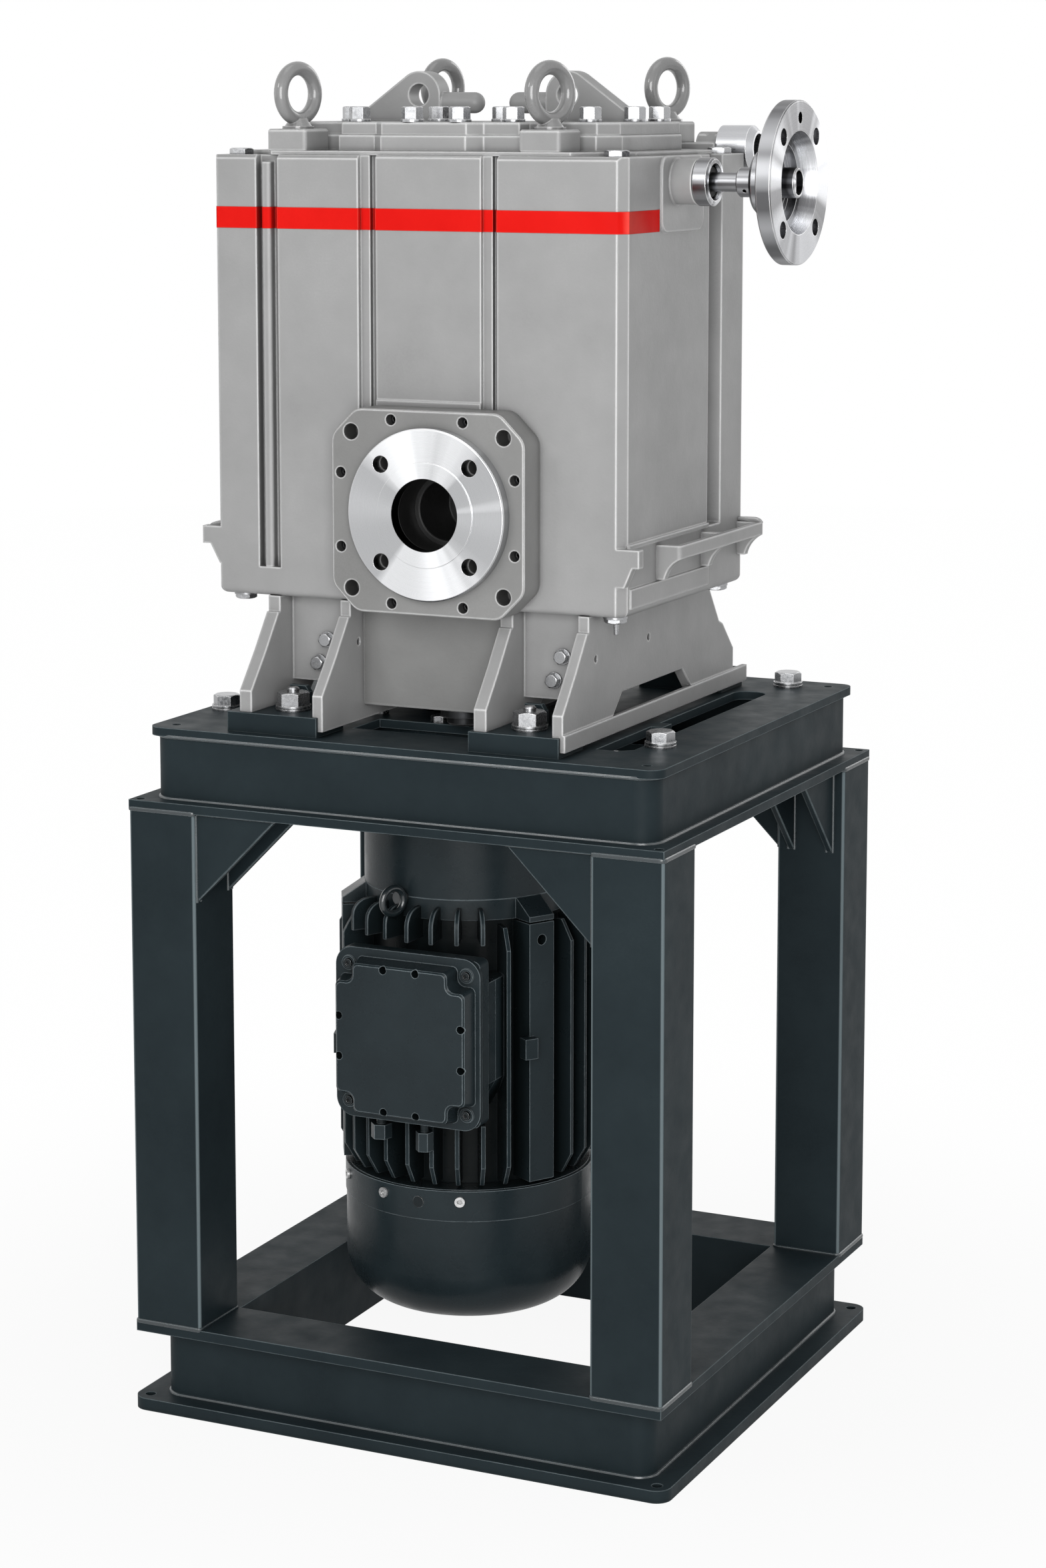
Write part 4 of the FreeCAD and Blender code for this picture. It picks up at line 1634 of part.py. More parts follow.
def lid_outline(half_w, half_h, y):
    """The raised field's outline: each corner steps in by a rounded, then a hollow corner."""
    n = LID_NOTCH
    r = LID_CORNER_R
    h = LID_HOLLOW_R
    k = math.sqrt(0.5)
    quarter = [(half_w, half_h - n - r), (half_w - r + r * k, half_h - n - r + r * k),
               (half_w - r, half_h - n), (half_w - n + h, half_h - n),
               (half_w - n + h - h * k, half_h - n + h - h * k), (half_w - n, half_h - n + h),
               (half_w - n, half_h - r), (half_w - n - r + r * k, half_h - r + r * k),
               (half_w - n - r, half_h)]
    edges = []
    loop = []
    for sx, sz in ((1, 1), (-1, 1), (-1, -1), (1, -1)):
        ordered = quarter if sx * sz > 0 else quarter[::-1]
        loop.append([Vector(BOX_MID_X + sx * x, y, BOX_Z - 1 + sz * z) for x, z in ordered])
    for i, p in enumerate(loop):
        edges += [Part.Arc(p[0], p[1], p[2]).toShape(), Part.makeLine(p[2], p[3]),
                  Part.Arc(p[3], p[4], p[5]).toShape(), Part.makeLine(p[5], p[6]),
                  Part.Arc(p[6], p[7], p[8]).toShape(), Part.makeLine(p[8], loop[(i + 1) % 4][0])]
    return Part.Wire(edges)


def lid_bite_places():
    """The small round notches along the raised field's four sides."""
    for s in (-1, 1):
        for t in (-1, 1):
            yield BOX_MID_X + s * LID_BITE_X, BOX_Z - 1 + t * (LID_H / 2 - LID_BITE_INSET)
            yield BOX_MID_X + s * (LID_W / 2 - LID_BITE_INSET), BOX_Z + t * LID_BITE_Z


def terminal_lid():
    """A rounded plate with a drafted raised field, notched for its screws."""
    plate = box(BOX_MID_X - BOX_W / 2, BOX_MID_X + BOX_W / 2, Y_LID, Y_BOX_FRONT,
                BOX_Z - BOX_H / 2, BOX_Z + BOX_H / 2)
    plate = plate.makeFillet(22.0, [e for e in plate.Edges if abs(e.Length - LID_PLATE_T) < 0.01])
    y0 = Y_LID - LID_T
    wide = lid_outline(LID_W / 2 + LID_DRAFT, LID_H / 2 + LID_DRAFT, Y_LID)
    middle = lid_outline(LID_W / 2 + 1.5, LID_H / 2 + 1.5, y0 + 2.0)
    front = lid_outline(LID_W / 2 - 0.5, LID_H / 2 - 0.5, y0)
    raised = Part.makeLoft([wide, middle, front], True, True)
    lid = plate.fuse([raised] + [rod_y(x, z, Y_LID - 2, Y_LID, LID_BOSS_R)
                                 for x, z in lid_corner_places()])
    for x, z in lid_bite_places():
        lid = lid.cut(rod_y(x, z, y0, Y_LID - 3, LID_BITE_R))
    for x, z in lid_corner_places():
        lid = lid.cut(rod_y(x, z, Y_LID - 2, Y_LID - 0.5, 5.6))
        lid = lid.cut(rod_y(x, z, Y_LID - 2, Y_BOX_FRONT, 3.0))
    return lid.removeSplitter()


def glands():
    """Each cable gland's x, radius and length below the box."""
    return ((BOX_MID_X + GLAND_LEFT_X, 12.5, 28.5), (BOX_MID_X + GLAND_RIGHT_X, 10.5, 37.0))


def cable_glands():
    pieces = []
    z = BOX_Z - BOX_H / 2 + 3
    for x, r, length in glands():
        y = Y_BOX_FRONT + GLAND_INSET
        stem = disc(x, y, z - length * 0.4, z + 17, r * 0.45)
        nut = hex_prism(x, y, z - length, z - length * 0.4, r * 1.7)
        collar = disc(x, y, z - 5, z, r * 0.7)
        bore = disc(x, y, z - length, z + 17, r * 0.3)
        pieces.append(join([stem, nut, collar]).cut(bore))
    save("cable_glands", pieces)


def small_screws():
    """Terminal lid screws and the fan cowl's radial screws."""
    pieces = []
    for x, z in lid_corner_places():
        y = Y_LID - 0.5
        head = rod_y(x, z, y - 4, y, 5.0).cut(rod_y(x, z, y - 4, y - 1.5, 2.6))
        pieces.append(head.fuse(rod_y(x, z, y, Y_BOX_FRONT, 3.0)).removeSplitter())
    for angle in COWL_SCREW_DEGS:
        head = radial_rod(angle, COWL_R, COWL_R + 3, Z_COWL_SCREW, 6.0)
        head = head.cut(radial_rod(angle, COWL_R + 1, COWL_R + 3, Z_COWL_SCREW, 2.8))
        shank = radial_rod(angle, COWL_R - 18, COWL_R + 1, Z_COWL_SCREW, 3.5)
        pieces.append(head.fuse(shank).removeSplitter())
    z = Z_MOTOR - COWL_PLUG_DROP
    plug = radial_rod(COWL_PLUG_DEG, COWL_R - 1.5, COWL_R + 1.5, z, 6.6)
    stem = radial_rod(COWL_PLUG_DEG, COWL_R - COWL_WALL - 2, COWL_R, z, 4.0)
    pieces.append(plug.fuse(stem).removeSplitter())
    save("small_screws", pieces)


def motor_eye():
    x = DRIVE_X + MOTOR_EYE_X
    z = Z_MOTOR_TOP + MOTOR_EYE_Z
    y_seat = SHAFT_Y - math.sqrt(BELL_R ** 2 - (abs(MOTOR_EYE_X) + 8) ** 2)
    ring_shape = Part.makeTorus(15.0, 4.0, Vector(x, y_seat - 25, z),
                                Vector(math.cos(-0.45), math.sin(-0.45), 0))
    collar = rod_y(x, z, y_seat - 9, y_seat - 4, 9.0)
    shank = rod_y(x, z, y_seat - 5, y_seat + 16, 5.0)
    eye = join([ring_shape, collar, shank])
    seat = disc(DRIVE_X, SHAFT_Y, Z_MOTOR_TOP, Z_DECK_UNDER, BELL_R)
    return eye.cut(seat).Solids[0]


def main():
    stand_base()
    stand_legs()
    stand_gussets()
    stand_top_frame()
    deck_bolts()
    foot_pads()
    for name, x0, x1, pad_x0, pad_x1 in feet():
        foot(name, x0, x1)
    gearbox_case()
    pump_block()
    side_rail("rail_right", BLOCK_X1, 1)
    side_rail("rail_left", BLOCK_X0, -1)
    outlet_pad()
    pad_screws()
    outlet_flange()
    top_covers()
    eye_blocks()
    eye_bolts()
    lifting_lugs()
    side_port()
    rear_header()
    shafts()
    claws()
    gears()
    pump_bearings()
    coupling()
    motor_bell()
    motor_shields()
    motor_frame()
    motor_core()
    motor_fan()
    fan_cowl()
    terminal_box()
    cable_glands()
    small_screws()


main()
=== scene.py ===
"""Looks of the dry claw vacuum pump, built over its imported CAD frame.

Metres, +Z up, the same frame as the CAD: X to the right, -Y is the front and
the origin is the middle of the base plate's underside.
"""
import json
import math

import bmesh
import bpy
from mathutils import Matrix, Vector


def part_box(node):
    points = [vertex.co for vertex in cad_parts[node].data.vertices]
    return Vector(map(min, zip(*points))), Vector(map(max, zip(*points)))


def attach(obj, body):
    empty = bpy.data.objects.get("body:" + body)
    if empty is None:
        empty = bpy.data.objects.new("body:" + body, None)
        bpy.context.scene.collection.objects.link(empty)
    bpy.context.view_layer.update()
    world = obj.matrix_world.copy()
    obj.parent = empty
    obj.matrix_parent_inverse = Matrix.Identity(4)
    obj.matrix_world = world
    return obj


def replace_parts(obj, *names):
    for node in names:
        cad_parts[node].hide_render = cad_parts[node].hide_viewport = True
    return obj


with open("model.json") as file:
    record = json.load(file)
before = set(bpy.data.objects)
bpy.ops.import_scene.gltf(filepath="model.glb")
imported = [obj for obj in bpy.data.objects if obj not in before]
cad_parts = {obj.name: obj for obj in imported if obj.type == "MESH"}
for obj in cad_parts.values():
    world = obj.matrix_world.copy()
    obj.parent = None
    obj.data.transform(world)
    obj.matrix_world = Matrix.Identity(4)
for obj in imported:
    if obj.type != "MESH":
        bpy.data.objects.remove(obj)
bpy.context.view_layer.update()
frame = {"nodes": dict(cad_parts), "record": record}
nodes = frame["nodes"]
BODY = "pump_and_stand"
UP = Vector((0, 0, 1))

# Places that the CAD gives, in metres
BLOCK_LOW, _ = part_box("pump_block")
FLANGE_LOW, FLANGE_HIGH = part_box("outlet_flange")
FLANGE_MIDDLE = (FLANGE_LOW + FLANGE_HIGH) / 2
RING_LOW, RING_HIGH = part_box("side_ring")
RING_MIDDLE = (RING_LOW + RING_HIGH) / 2
LEGS = [name for name in nodes if name.startswith("stand_leg_")]
DRIVE_AXIS = Vector((-0.048, -0.020, 0.0))
BLOCK_SIDE_X = 0.2367
GROOVE_REACH = 0.024
OUTLET_R = 0.040
THROAT_END_Y = 0.0
BARREL_R = 0.118

# Where a node with screws or eyes in several places changes its look
MOTOR_TOP = 0.80
COWL_TOP = 0.30
COWL_PLUG = (-0.0416, -0.1674, 0.242)
COWL_PLUG_REACH = 0.012

# The red band
STRIPE_Z0 = 1.362
STRIPE_Z1 = 1.386
STRIPE_SIDE_Y = -0.1262
STRIPE_T = 0.0005
STRIPE_LEFT_REACH = 0.03
STRIPE_FACE_DEPTH = 0.004

# The tall tops of the motor's front fins
FIN_DEGREES = [-1.7 + 11.25 * i for i in range(21, 28)]
FIN_HALF_T = 0.0026
FIN_ROOT = 0.116
FIN_TIP = 0.1543
FIN_Z0 = 0.5485
FIN_Z1 = 0.586
FIN_ROUND_OUT = 0.022
FIN_ROUND_UP = 0.019
FIN_ROUND_ANGLES = (0.0, 0.3, 0.6, 0.9, 1.2, math.pi / 2)
FIN_BEVEL = 0.0006

# The corner plates of the stand's legs, with one inset for each way that they run
GUSSET_T = 0.008
GUSSET_L = 0.102
GUSSET_INSETS = (0.005, 0.014)
GUSSET_BEVEL = 0.0008

# Weld beads: half the width out of the seam, and half the width along its other side
LEG_BEAD = (0.0016, 0.0028)
WEB_BEAD = (0.0024, 0.0026)
GUSSET_BEAD = (0.0020, 0.0020)
LEG_CORNER_R = 0.004
WELD_SIDES = 8
WELD_STEP = 0.0035
WELD_RIPPLE = 0.03

# Each web seam's low corner, high corner, height and corner radius
WEB_SEAMS = (((-0.307, -0.3005), (0.307, 0.3005), 0.0144, 0.022),
             ((-0.307, -0.3005), (0.307, 0.3005), 0.0938, 0.022),
             ((-0.309, -0.3025), (0.309, 0.3025), 0.7197, 0.024),
             ((-0.309, -0.3025), (0.309, 0.3025), 0.7915, 0.024))

# The strap at the right rail's rear end
STRAP_FROM_REAR = 0.006
STRAP_DEPTH = 0.0058
STRAP_BEVEL = 0.0005

# The cap behind the left front hook: x from the block's left face, and z
CAP_OUTLINE = ((0.0005, 1.006), (0.0005, 1.0215), (0.005, 1.0250), (0.011, 1.0272),
               (0.0225, 1.0275), (0.0225, 1.006))
CAP_FROM_FRONT = 0.0115
CAP_DEPTH = 0.011
CAP_BEVEL = 0.0006

# The dowel pin under the block
PIN_MIDDLE = (0.2185, -0.1975, 0.9325)
PIN_LENGTH = 0.0125
PIN_LOW_R = 0.0026
PIN_HIGH_R = 0.0034
PIN_BEVEL = 0.0004

# Shading: the bevel radius of metal edges and of small ones, the scale of turning marks, and
# the cosines of a bevelled normal's turn that count as flat and as sharp for the painted edge highlight
METAL_EDGE = 0.0008
SMALL_EDGE = 0.0006
TURNING_SCALE = 2600.0
EDGE_FLAT = 0.993
EDGE_SHARP = 0.945
SMOOTH_UP_TO_DEGREES = 35

# Vector operations whose result is one number
SCALAR_RESULTS = ("LENGTH", "DISTANCE", "DOT_PRODUCT")

# Lights: name, place, the point each one faces, width, height and power
LIGHTS = (("key", (1.5, -3.7, 1.6), (0.0, 0.0, 0.9), 2.2, 2.4, 98),
          ("side", (4.2, -0.6, 1.7), (0.0, 0.0, 0.9), 1.6, 2.4, 7),
          ("left", (-4.0, -1.8, 2.2), (0.0, 0.0, 0.9), 1.6, 2.2, 8),
          ("high_left", (-1.9, -3.8, 3.4), (0.0, 0.0, 1.0), 0.9, 0.9, 20),
          ("top", (0.3, -0.4, 4.4), (0.0, 0.0, 1.2), 2.0, 2.0, 10),
          ("rim", (1.4, 3.6, 2.4), (0.1, 0.0, 1.0), 1.8, 2.2, 20))
WORLD_LIGHT = 0.20

# The floor, which turns to plain white away from the stand
FLOOR_R = 9.0
FLOOR_GREY = 0.86
FLOOR_WHITE_FROM = 0.35
FLOOR_WHITE_TO = 1.4
FLOOR_SHARE_NEAR = 0.92
FLOOR_SHARE_FAR = 0.995
FLOOR_IN_MIRRORS = 0.6

# The camera, solved from the photograph's edges, in degrees, metres and pixels
CAMERA_PLACE = (1.713851, -3.624364, 1.50177)
CAMERA_DOWN = 7.854
CAMERA_TURN = 25.134
FOCAL_PX = 5195.44
MIDDLE_Y_PX = 870.0
PICTURE_HEIGHT_PX = 2350
SENSOR = 36.0


# Node helpers

class Nodes:
    """A small builder for a node tree."""

    def __init__(self, tree):
        self.tree = tree

    def add(self, kind, **settings):
        node = self.tree.nodes.new(kind)
        for key, value in settings.items():
            setattr(node, key, value)
        return node

    def link(self, source, target):
        self.tree.links.new(source, target)

    def feed(self, node, socket, value):
        """Links an output to a socket, or sets the socket to a constant."""
        if isinstance(value, bpy.types.NodeSocket):
            self.link(value, node.inputs[socket])
        else:
            node.inputs[socket].default_value = value

    def ramp(self, factor, low, high, low_at=0.0, high_at=1.0, kind="LINEAR"):
        """Carries the range from low_at to high_at over to the range from low to high."""
        node = self.add("ShaderNodeMapRange", interpolation_type=kind)
        self.feed(node, "Value", factor)
        node.inputs["From Min"].default_value = low_at
        node.inputs["From Max"].default_value = high_at
        node.inputs["To Min"].default_value = low
        node.inputs["To Max"].default_value = high
        return node.outputs[0]

    def math(self, operation, a, b=0.0):
        node = self.add("ShaderNodeMath", operation=operation)
        self.feed(node, 0, a)
        self.feed(node, 1, b)
        return node.outputs[0]

    def vector_math(self, operation, a, b=None):
        node = self.add("ShaderNodeVectorMath", operation=operation)
        self.feed(node, 0, a)
        if b is not None:
            self.feed(node, 1, b)
        return node.outputs["Value" if operation in SCALAR_RESULTS else "Vector"]

    def blend(self, factor, a, b):
        """Mixes two whole shaders."""
        node = self.add("ShaderNodeMixShader")
        for socket, value in enumerate((factor, a, b)):
            self.link(value, node.inputs[socket])
        return node.outputs[0]


class Shader(Nodes):
    """One material with a principled surface."""

    def __init__(self, name):
        self.material = bpy.data.materials.new(name)
        self.material.use_nodes = True
        super().__init__(self.material.node_tree)
        self.tree.nodes.clear()
        self.output = self.add("ShaderNodeOutputMaterial")
        self.surface = self.add("ShaderNodeBsdfPrincipled")
        self.link(self.surface.outputs[0], self.output.inputs["Surface"])
        self.coords = self.add("ShaderNodeTexCoord").outputs["Object"]

    def put(self, socket, value):
        """Links an output to a socket of the surface, or sets the socket to a constant."""
        self.feed(self.surface, socket, value)

    def noise(self, scale, detail=4.0, rough=0.55, coords=None, stretch=None):
        node = self.add("ShaderNodeTexNoise")
        node.inputs["Scale"].default_value = scale
        node.inputs["Detail"].default_value = detail
        node.inputs["Roughness"].default_value = rough
        source = coords or self.coords
        if stretch:
            mapping = self.add("ShaderNodeMapping")
            mapping.inputs["Scale"].default_value = stretch
            self.link(source, mapping.inputs["Vector"])
            source = mapping.outputs[0]
        self.link(source, node.inputs["Vector"])
        return node.outputs["Fac"]

    def mix(self, factor, a, b):
        node = self.add("ShaderNodeMix", data_type="RGBA")
        self.feed(node, 0, factor)
        self.feed(node, 6, a)
        self.feed(node, 7, b)
        return node.outputs[2]

    def coordinate(self, axis, source=None):
        """One coordinate of a vector, or of the place on the piece."""
        split = self.add("ShaderNodeSeparateXYZ")
        self.link(source or self.coords, split.inputs[0])
        return split.outputs[axis]

    def spoke(self, centre, keep):
        """The way from an axis to the place on the piece. keep holds 1 for directions across it."""
        offset = self.vector_math("SUBTRACT", self.coords, centre)
        return self.vector_math("MULTIPLY", offset, keep)

    def edges(self, radius):
        """A bevelled normal, and the painted edge highlight's mask: 1 where it turns on sharp edges and
        0 on flats.
        """
        bevel = self.add("ShaderNodeBevel", samples=4)
        bevel.inputs["Radius"].default_value = radius
        true_normal = self.add("ShaderNodeNewGeometry").outputs["Normal"]
        cosine = self.vector_math("DOT_PRODUCT", bevel.outputs[0], true_normal)
        return bevel.outputs[0], self.ramp(cosine, 1.0, 0.0, EDGE_SHARP, EDGE_FLAT)

    def rounding(self):
        """The mask of the painted highlight on upright rounded edges: 1 there and 0 on the flat sides
        of a square section.
        """
        normal = self.add("ShaderNodeNewGeometry").outputs["Normal"]
        both = self.math("MULTIPLY", self.coordinate("X", normal), self.coordinate("Y", normal))
        return self.ramp(self.math("ABSOLUTE", both), 0.0, 1.0, 0.12, 0.42)

    def crevices(self, distance):
        """The mask of painted shade in corners: 0 deep in a corner and 1 out in the open."""
        hollow = self.add("ShaderNodeAmbientOcclusion", samples=4, only_local=False)
        hollow.inputs["Distance"].default_value = distance
        return hollow.outputs["AO"]

    def below(self, level):
        """1 under a height and 0 over it."""
        return self.math("LESS_THAN", self.coordinate("Z"), level)

    def near(self, place, reach):
        """1 within a distance of a place and 0 beyond it."""
        return self.math("LESS_THAN", self.vector_math("DISTANCE", self.coords, place), reach)

    def inside_outlet(self):
        """1 inside the outlet bore and the throat behind it, 0 elsewhere."""
        radius = self.vector_math("LENGTH", self.spoke(FLANGE_MIDDLE, (1.0, 0.0, 1.0)))
        bore = self.ramp(radius, 1.0, 0.0, OUTLET_R + 0.0001, OUTLET_R + 0.0006)
        before_end = self.math("LESS_THAN", self.coordinate("Y"), THROAT_END_Y)
        return self.math("MULTIPLY", bore, before_end)

    def between_fins(self):
        """The mask of painted shade between the motor's fins: 1 on the barrel down between them, fading
        to 0 up the fins.
        """
        radius = self.vector_math("LENGTH", self.spoke(DRIVE_AXIS, (1.0, 1.0, 0.0)))
        return self.ramp(radius, 1.0, 0.0, BARREL_R + 0.001, BARREL_R + 0.022)

    def bump(self, height, strength, distance, normal):
        node = self.add("ShaderNodeBump")
        node.inputs["Strength"].default_value = strength
        node.inputs["Distance"].default_value = distance
        self.link(height, node.inputs["Height"])
        self.link(normal, node.inputs["Normal"])
        return node.outputs[0]


# Materials, with colours as sRGB values from 0 to 255

def rgb(value):
    """A grey or a colour as a tuple of three."""
    return value if isinstance(value, tuple) else (value, value, value)


def shade(value):
    """A grey or a colour as a linear RGBA tuple."""
    linear = [((v / 255 + 0.055) / 1.055) ** 2.4 if v > 10 else v / 255 / 12.92 for v in rgb(value)]
    return tuple(linear) + (1.0,)


def darker(value, share):
    """A share of a grey or a colour as a linear RGBA tuple."""
    return shade(tuple(int(v * share) for v in rgb(value)))


def paint(name, base, dark, light, edge, rough, grain, specular=0.5, edge_radius=0.0016, least_highlight=0.6,
          hollow=0.012, coat=0.0, bore=False, low_paint=None, rounded_highlight=None, valley_shade=None):
    """Sprayed paint over a casting or plate, with painted edge highlights and painted corner shade.

    grain is the depth of the surface's bumps, edge the colour of the painted highlight on sharp
    edges, wear its least share there, and hollow the reach of the painted shade in corners.
    Some nodes need more: bore darkens the outlet's inside, low_paint is the colour of what
    hangs under the pump, rounded_highlight the colour of the painted highlight on a leg's rounded
    edges and valley the one of the painted shade between the motor's fins.
    """
    s = Shader(name)
    normal, highlight_mask = s.edges(edge_radius)
    cloud = s.noise(7.0, 5.0, 0.6)
    speck = s.noise(420.0, 2.0)
    colour = s.mix(s.ramp(cloud, 0.0, 1.0, 0.35, 0.68), shade(dark), shade(light))
    colour = s.mix(s.ramp(speck, 0.0, 0.5, 0.35, 0.75), colour, shade(base))
    # Painted highlight along the sharp edges, thinned in places by noise
    highlight_on_edges = s.math("MULTIPLY", highlight_mask, s.ramp(s.noise(60.0, 3.0), least_highlight, 1.0, 0.3, 0.6))
    colour = s.mix(highlight_on_edges, colour, shade(edge))
    if low_paint:
        colour = s.mix(s.below(MOTOR_TOP), colour, shade(low_paint))
    # Painted highlight on the legs' rounded upright edges
    if rounded_highlight:
        colour = s.mix(s.rounding(), colour, shade(rounded_highlight))
    # Painted shade on the barrel down between the motor's fins
    if valley_shade:
        colour = s.mix(s.between_fins(), colour, shade(valley_shade))
    # Painted shade in corners and hollows, a darker copy of the paint
    corner_shade = s.ramp(s.crevices(hollow), 0.9, 0.0, 0.25, 0.8)
    colour = s.mix(corner_shade, colour, darker(base, 0.45))
    if bore:
        colour = s.mix(s.inside_outlet(), colour, shade(22))
    s.put("Base Color", colour)
    s.put("Roughness", s.ramp(s.noise(30.0, 4.0), rough - 0.06, rough + 0.08, 0.3, 0.7))
    s.put("Specular IOR Level", specular)
    s.put("Coat Weight", coat)
    s.put("Coat Roughness", 0.08)
    height = s.math("ADD", s.noise(260.0, 3.0), s.math("MULTIPLY", s.noise(60.0, 2.0), 1.5))
    s.put("Normal", s.bump(height, 1.0, grain, normal))
    return s.material


def turned_steel(name, base, rough, centre, axis, dark_sheen_share, hollow=0.03, bore=False, dark_sheen_way=None):
    """Bright steel with fine turning marks about an axis, painted edge highlights and painted corner
    shade.

    A painted sheen of uneven light and dark rays runs out from the axis. The darker rays
    show streak times the base colour, and dark_sheen_way is a direction along which more of them are
    dark.
    """
    s = Shader(name)
    normal, highlight_mask = s.edges(METAL_EDGE)
    flat = s.spoke(centre, tuple(0.0 if letter == axis else 1.0 for letter in "XYZ"))
    marks_noise = s.add("ShaderNodeTexNoise", noise_dimensions="1D")
    marks_noise.inputs["Scale"].default_value = TURNING_SCALE
    marks_noise.inputs["Detail"].default_value = 3.0
    s.feed(marks_noise, "W", s.vector_math("LENGTH", flat))
    marks = marks_noise.outputs["Fac"]
    ray = s.vector_math("NORMALIZE", flat)
    # Painted sheen: uneven light and dark rays out from the axis, as a turned face reflects light
    painted_sheen = s.noise(1.6, 2.0, coords=ray)
    if dark_sheen_way:
        along = s.math("ABSOLUTE", s.vector_math("DOT_PRODUCT", ray, dark_sheen_way))
        painted_sheen = s.math("SUBTRACT", painted_sheen, s.ramp(along, -0.10, 0.30, 0.60, 0.99))
    colour = s.mix(s.ramp(painted_sheen, 0.0, 1.0, 0.38, 0.60), darker(base, dark_sheen_share), shade(base))
    # Painted highlight on sharp edges
    colour = s.mix(highlight_mask, colour, shade(248))
    # Painted shade in corners
    shadow = s.ramp(s.crevices(hollow), 1.0, 0.0, 0.12, 0.5)
    colour = s.mix(shadow, colour, shade(18))
    if bore:
        colour = s.mix(s.inside_outlet(), colour, shade(26))
    s.put("Base Color", colour)
    s.put("Metallic", 1.0)
    s.put("Anisotropic", 0.85)
    s.put("Tangent", s.add("ShaderNodeTangent", direction_type="RADIAL", axis=axis).outputs[0])
    s.put("Roughness", s.ramp(marks, rough - 0.05, rough + 0.08, 0.3, 0.7))
    s.put("Normal", s.bump(marks, 0.2, 0.00001, normal))
    return s.material


def plain_metal(name, base, rough, edge=225, stretch=None):
    """Plated, ground or cast metal with faint scratches, painted edge highlights and painted corner
    shade.
    """
    s = Shader(name)
    normal, highlight_mask = s.edges(METAL_EDGE)
    colour = s.mix(s.noise(40.0, 3.0), darker(base, 0.86), shade(base))
    # Painted highlight on sharp edges
    colour = s.mix(s.math("MULTIPLY", highlight_mask, 0.8), colour, shade(edge))
    # Painted shade in corners
    colour = s.mix(s.ramp(s.crevices(0.008), 0.9, 0.0, 0.2, 0.7), colour, shade(30))
    s.put("Base Color", colour)
    s.put("Metallic", 1.0)
    scratches = s.noise(300.0, 3.0, stretch=stretch)
    s.put("Roughness", s.ramp(scratches, rough - 0.07, rough + 0.1, 0.3, 0.7))
    s.put("Normal", s.bump(scratches, 0.3, 0.00003, normal))
    return s.material


def screw_metal():
    """Bright screws low on the fan cowl, dark ones on the lid and in the cowl's plug."""
    s = Shader("screw_metal")
    normal, highlight_mask = s.edges(SMALL_EDGE)
    scratches = s.noise(300.0, 3.0)
    off_plug = s.math("SUBTRACT", 1.0, s.near(COWL_PLUG, COWL_PLUG_REACH))
    bright = s.math("MULTIPLY", s.below(COWL_TOP), off_plug)
    colour = s.mix(bright, shade((30, 37, 40)), s.mix(scratches, shade(190), shade(240)))
    # Painted highlight on sharp edges
    colour = s.mix(s.math("MULTIPLY", highlight_mask, 0.5), colour, shade(200))
    # Painted shade in corners
    colour = s.mix(s.ramp(s.crevices(0.004), 0.9, 0.0, 0.2, 0.7), colour, shade(14))
    s.put("Base Color", colour)
    s.put("Metallic", 0.6)
    s.put("Roughness", s.ramp(scratches, 0.22, 0.42, 0.3, 0.7))
    s.put("Normal", s.bump(scratches, 0.3, 0.00006, normal))
    return s.material


def soft_plastic(name, base, rough):
    """Rubber or plastic with a fine grain."""
    s = Shader(name)
    normal, _ = s.edges(SMALL_EDGE)
    s.put("Base Color", s.mix(s.noise(90.0, 4.0), darker(base, 0.8), shade(base)))
    s.put("Roughness", s.ramp(s.noise(200.0, 3.0), rough - 0.06, rough + 0.06))
    s.put("Normal", s.bump(s.noise(500.0, 2.0), 0.5, 0.0001, normal))
    return s.material


# Each paint's fourth colour is its painted edge highlight
pump_paint = paint("pump_paint", 163, 155, 171, 255, rough=0.42, grain=0.00016,
                   edge_radius=0.0034, least_highlight=0.9, hollow=0.013, bore=True)
pad_paint = paint("pad_paint", (140, 140, 139), (130, 130, 129), (148, 148, 147), 246,
                  rough=0.40, grain=0.00012, edge_radius=0.0028, least_highlight=0.85, hollow=0.030, bore=True)
eye_paint = paint("eye_paint", 138, 128, 146, 236, rough=0.30, grain=0.00008,
                  edge_radius=0.002, coat=1.0, low_paint=(30, 38, 41))
stand_paint = paint("stand_paint", (37, 47, 51), (32, 41, 45), (42, 52, 56), (128, 140, 144),
                    rough=0.48, grain=0.00008, specular=0.10)
leg_paint = paint("leg_paint", (37, 47, 51), (32, 41, 45), (42, 52, 56), (128, 140, 144),
                  rough=0.48, grain=0.00008, specular=0.10, rounded_highlight=(112, 124, 128))
motor_paint = paint("motor_paint", (39, 49, 53), (33, 42, 46), (44, 54, 58), (150, 162, 167),
                    rough=0.28, grain=0.00010, specular=0.20, edge_radius=0.0014, hollow=0.060)
frame_paint = paint("frame_paint", (37, 47, 51), (31, 40, 44), (42, 52, 56), (150, 162, 167),
                    rough=0.30, grain=0.00010, specular=0.12, edge_radius=0.0014, hollow=0.060,
                    valley_shade=(8, 12, 14))
weld_paint = paint("weld_paint", (38, 48, 52), (34, 44, 48), (44, 54, 58), (130, 142, 146),
                   rough=0.26, grain=0.00005, specular=1.0, edge_radius=0.0008)
stripe_paint = paint("stripe_paint", (236, 26, 22), (226, 22, 18), (242, 32, 26), (255, 84, 74),
                     rough=0.60, grain=0.00010, specular=0.05)
# The turned steels' light and dark rays are a painted sheen
outlet_steel = turned_steel("outlet_steel", (242, 243, 245), rough=0.30, centre=FLANGE_MIDDLE,
                            axis="Y", dark_sheen_share=0.80, bore=True, dark_sheen_way=(0.99, 0.0, 0.12))
port_steel = turned_steel("port_steel", (206, 207, 210), rough=0.24, centre=RING_MIDDLE,
                          axis="X", dark_sheen_share=0.54, hollow=0.02)
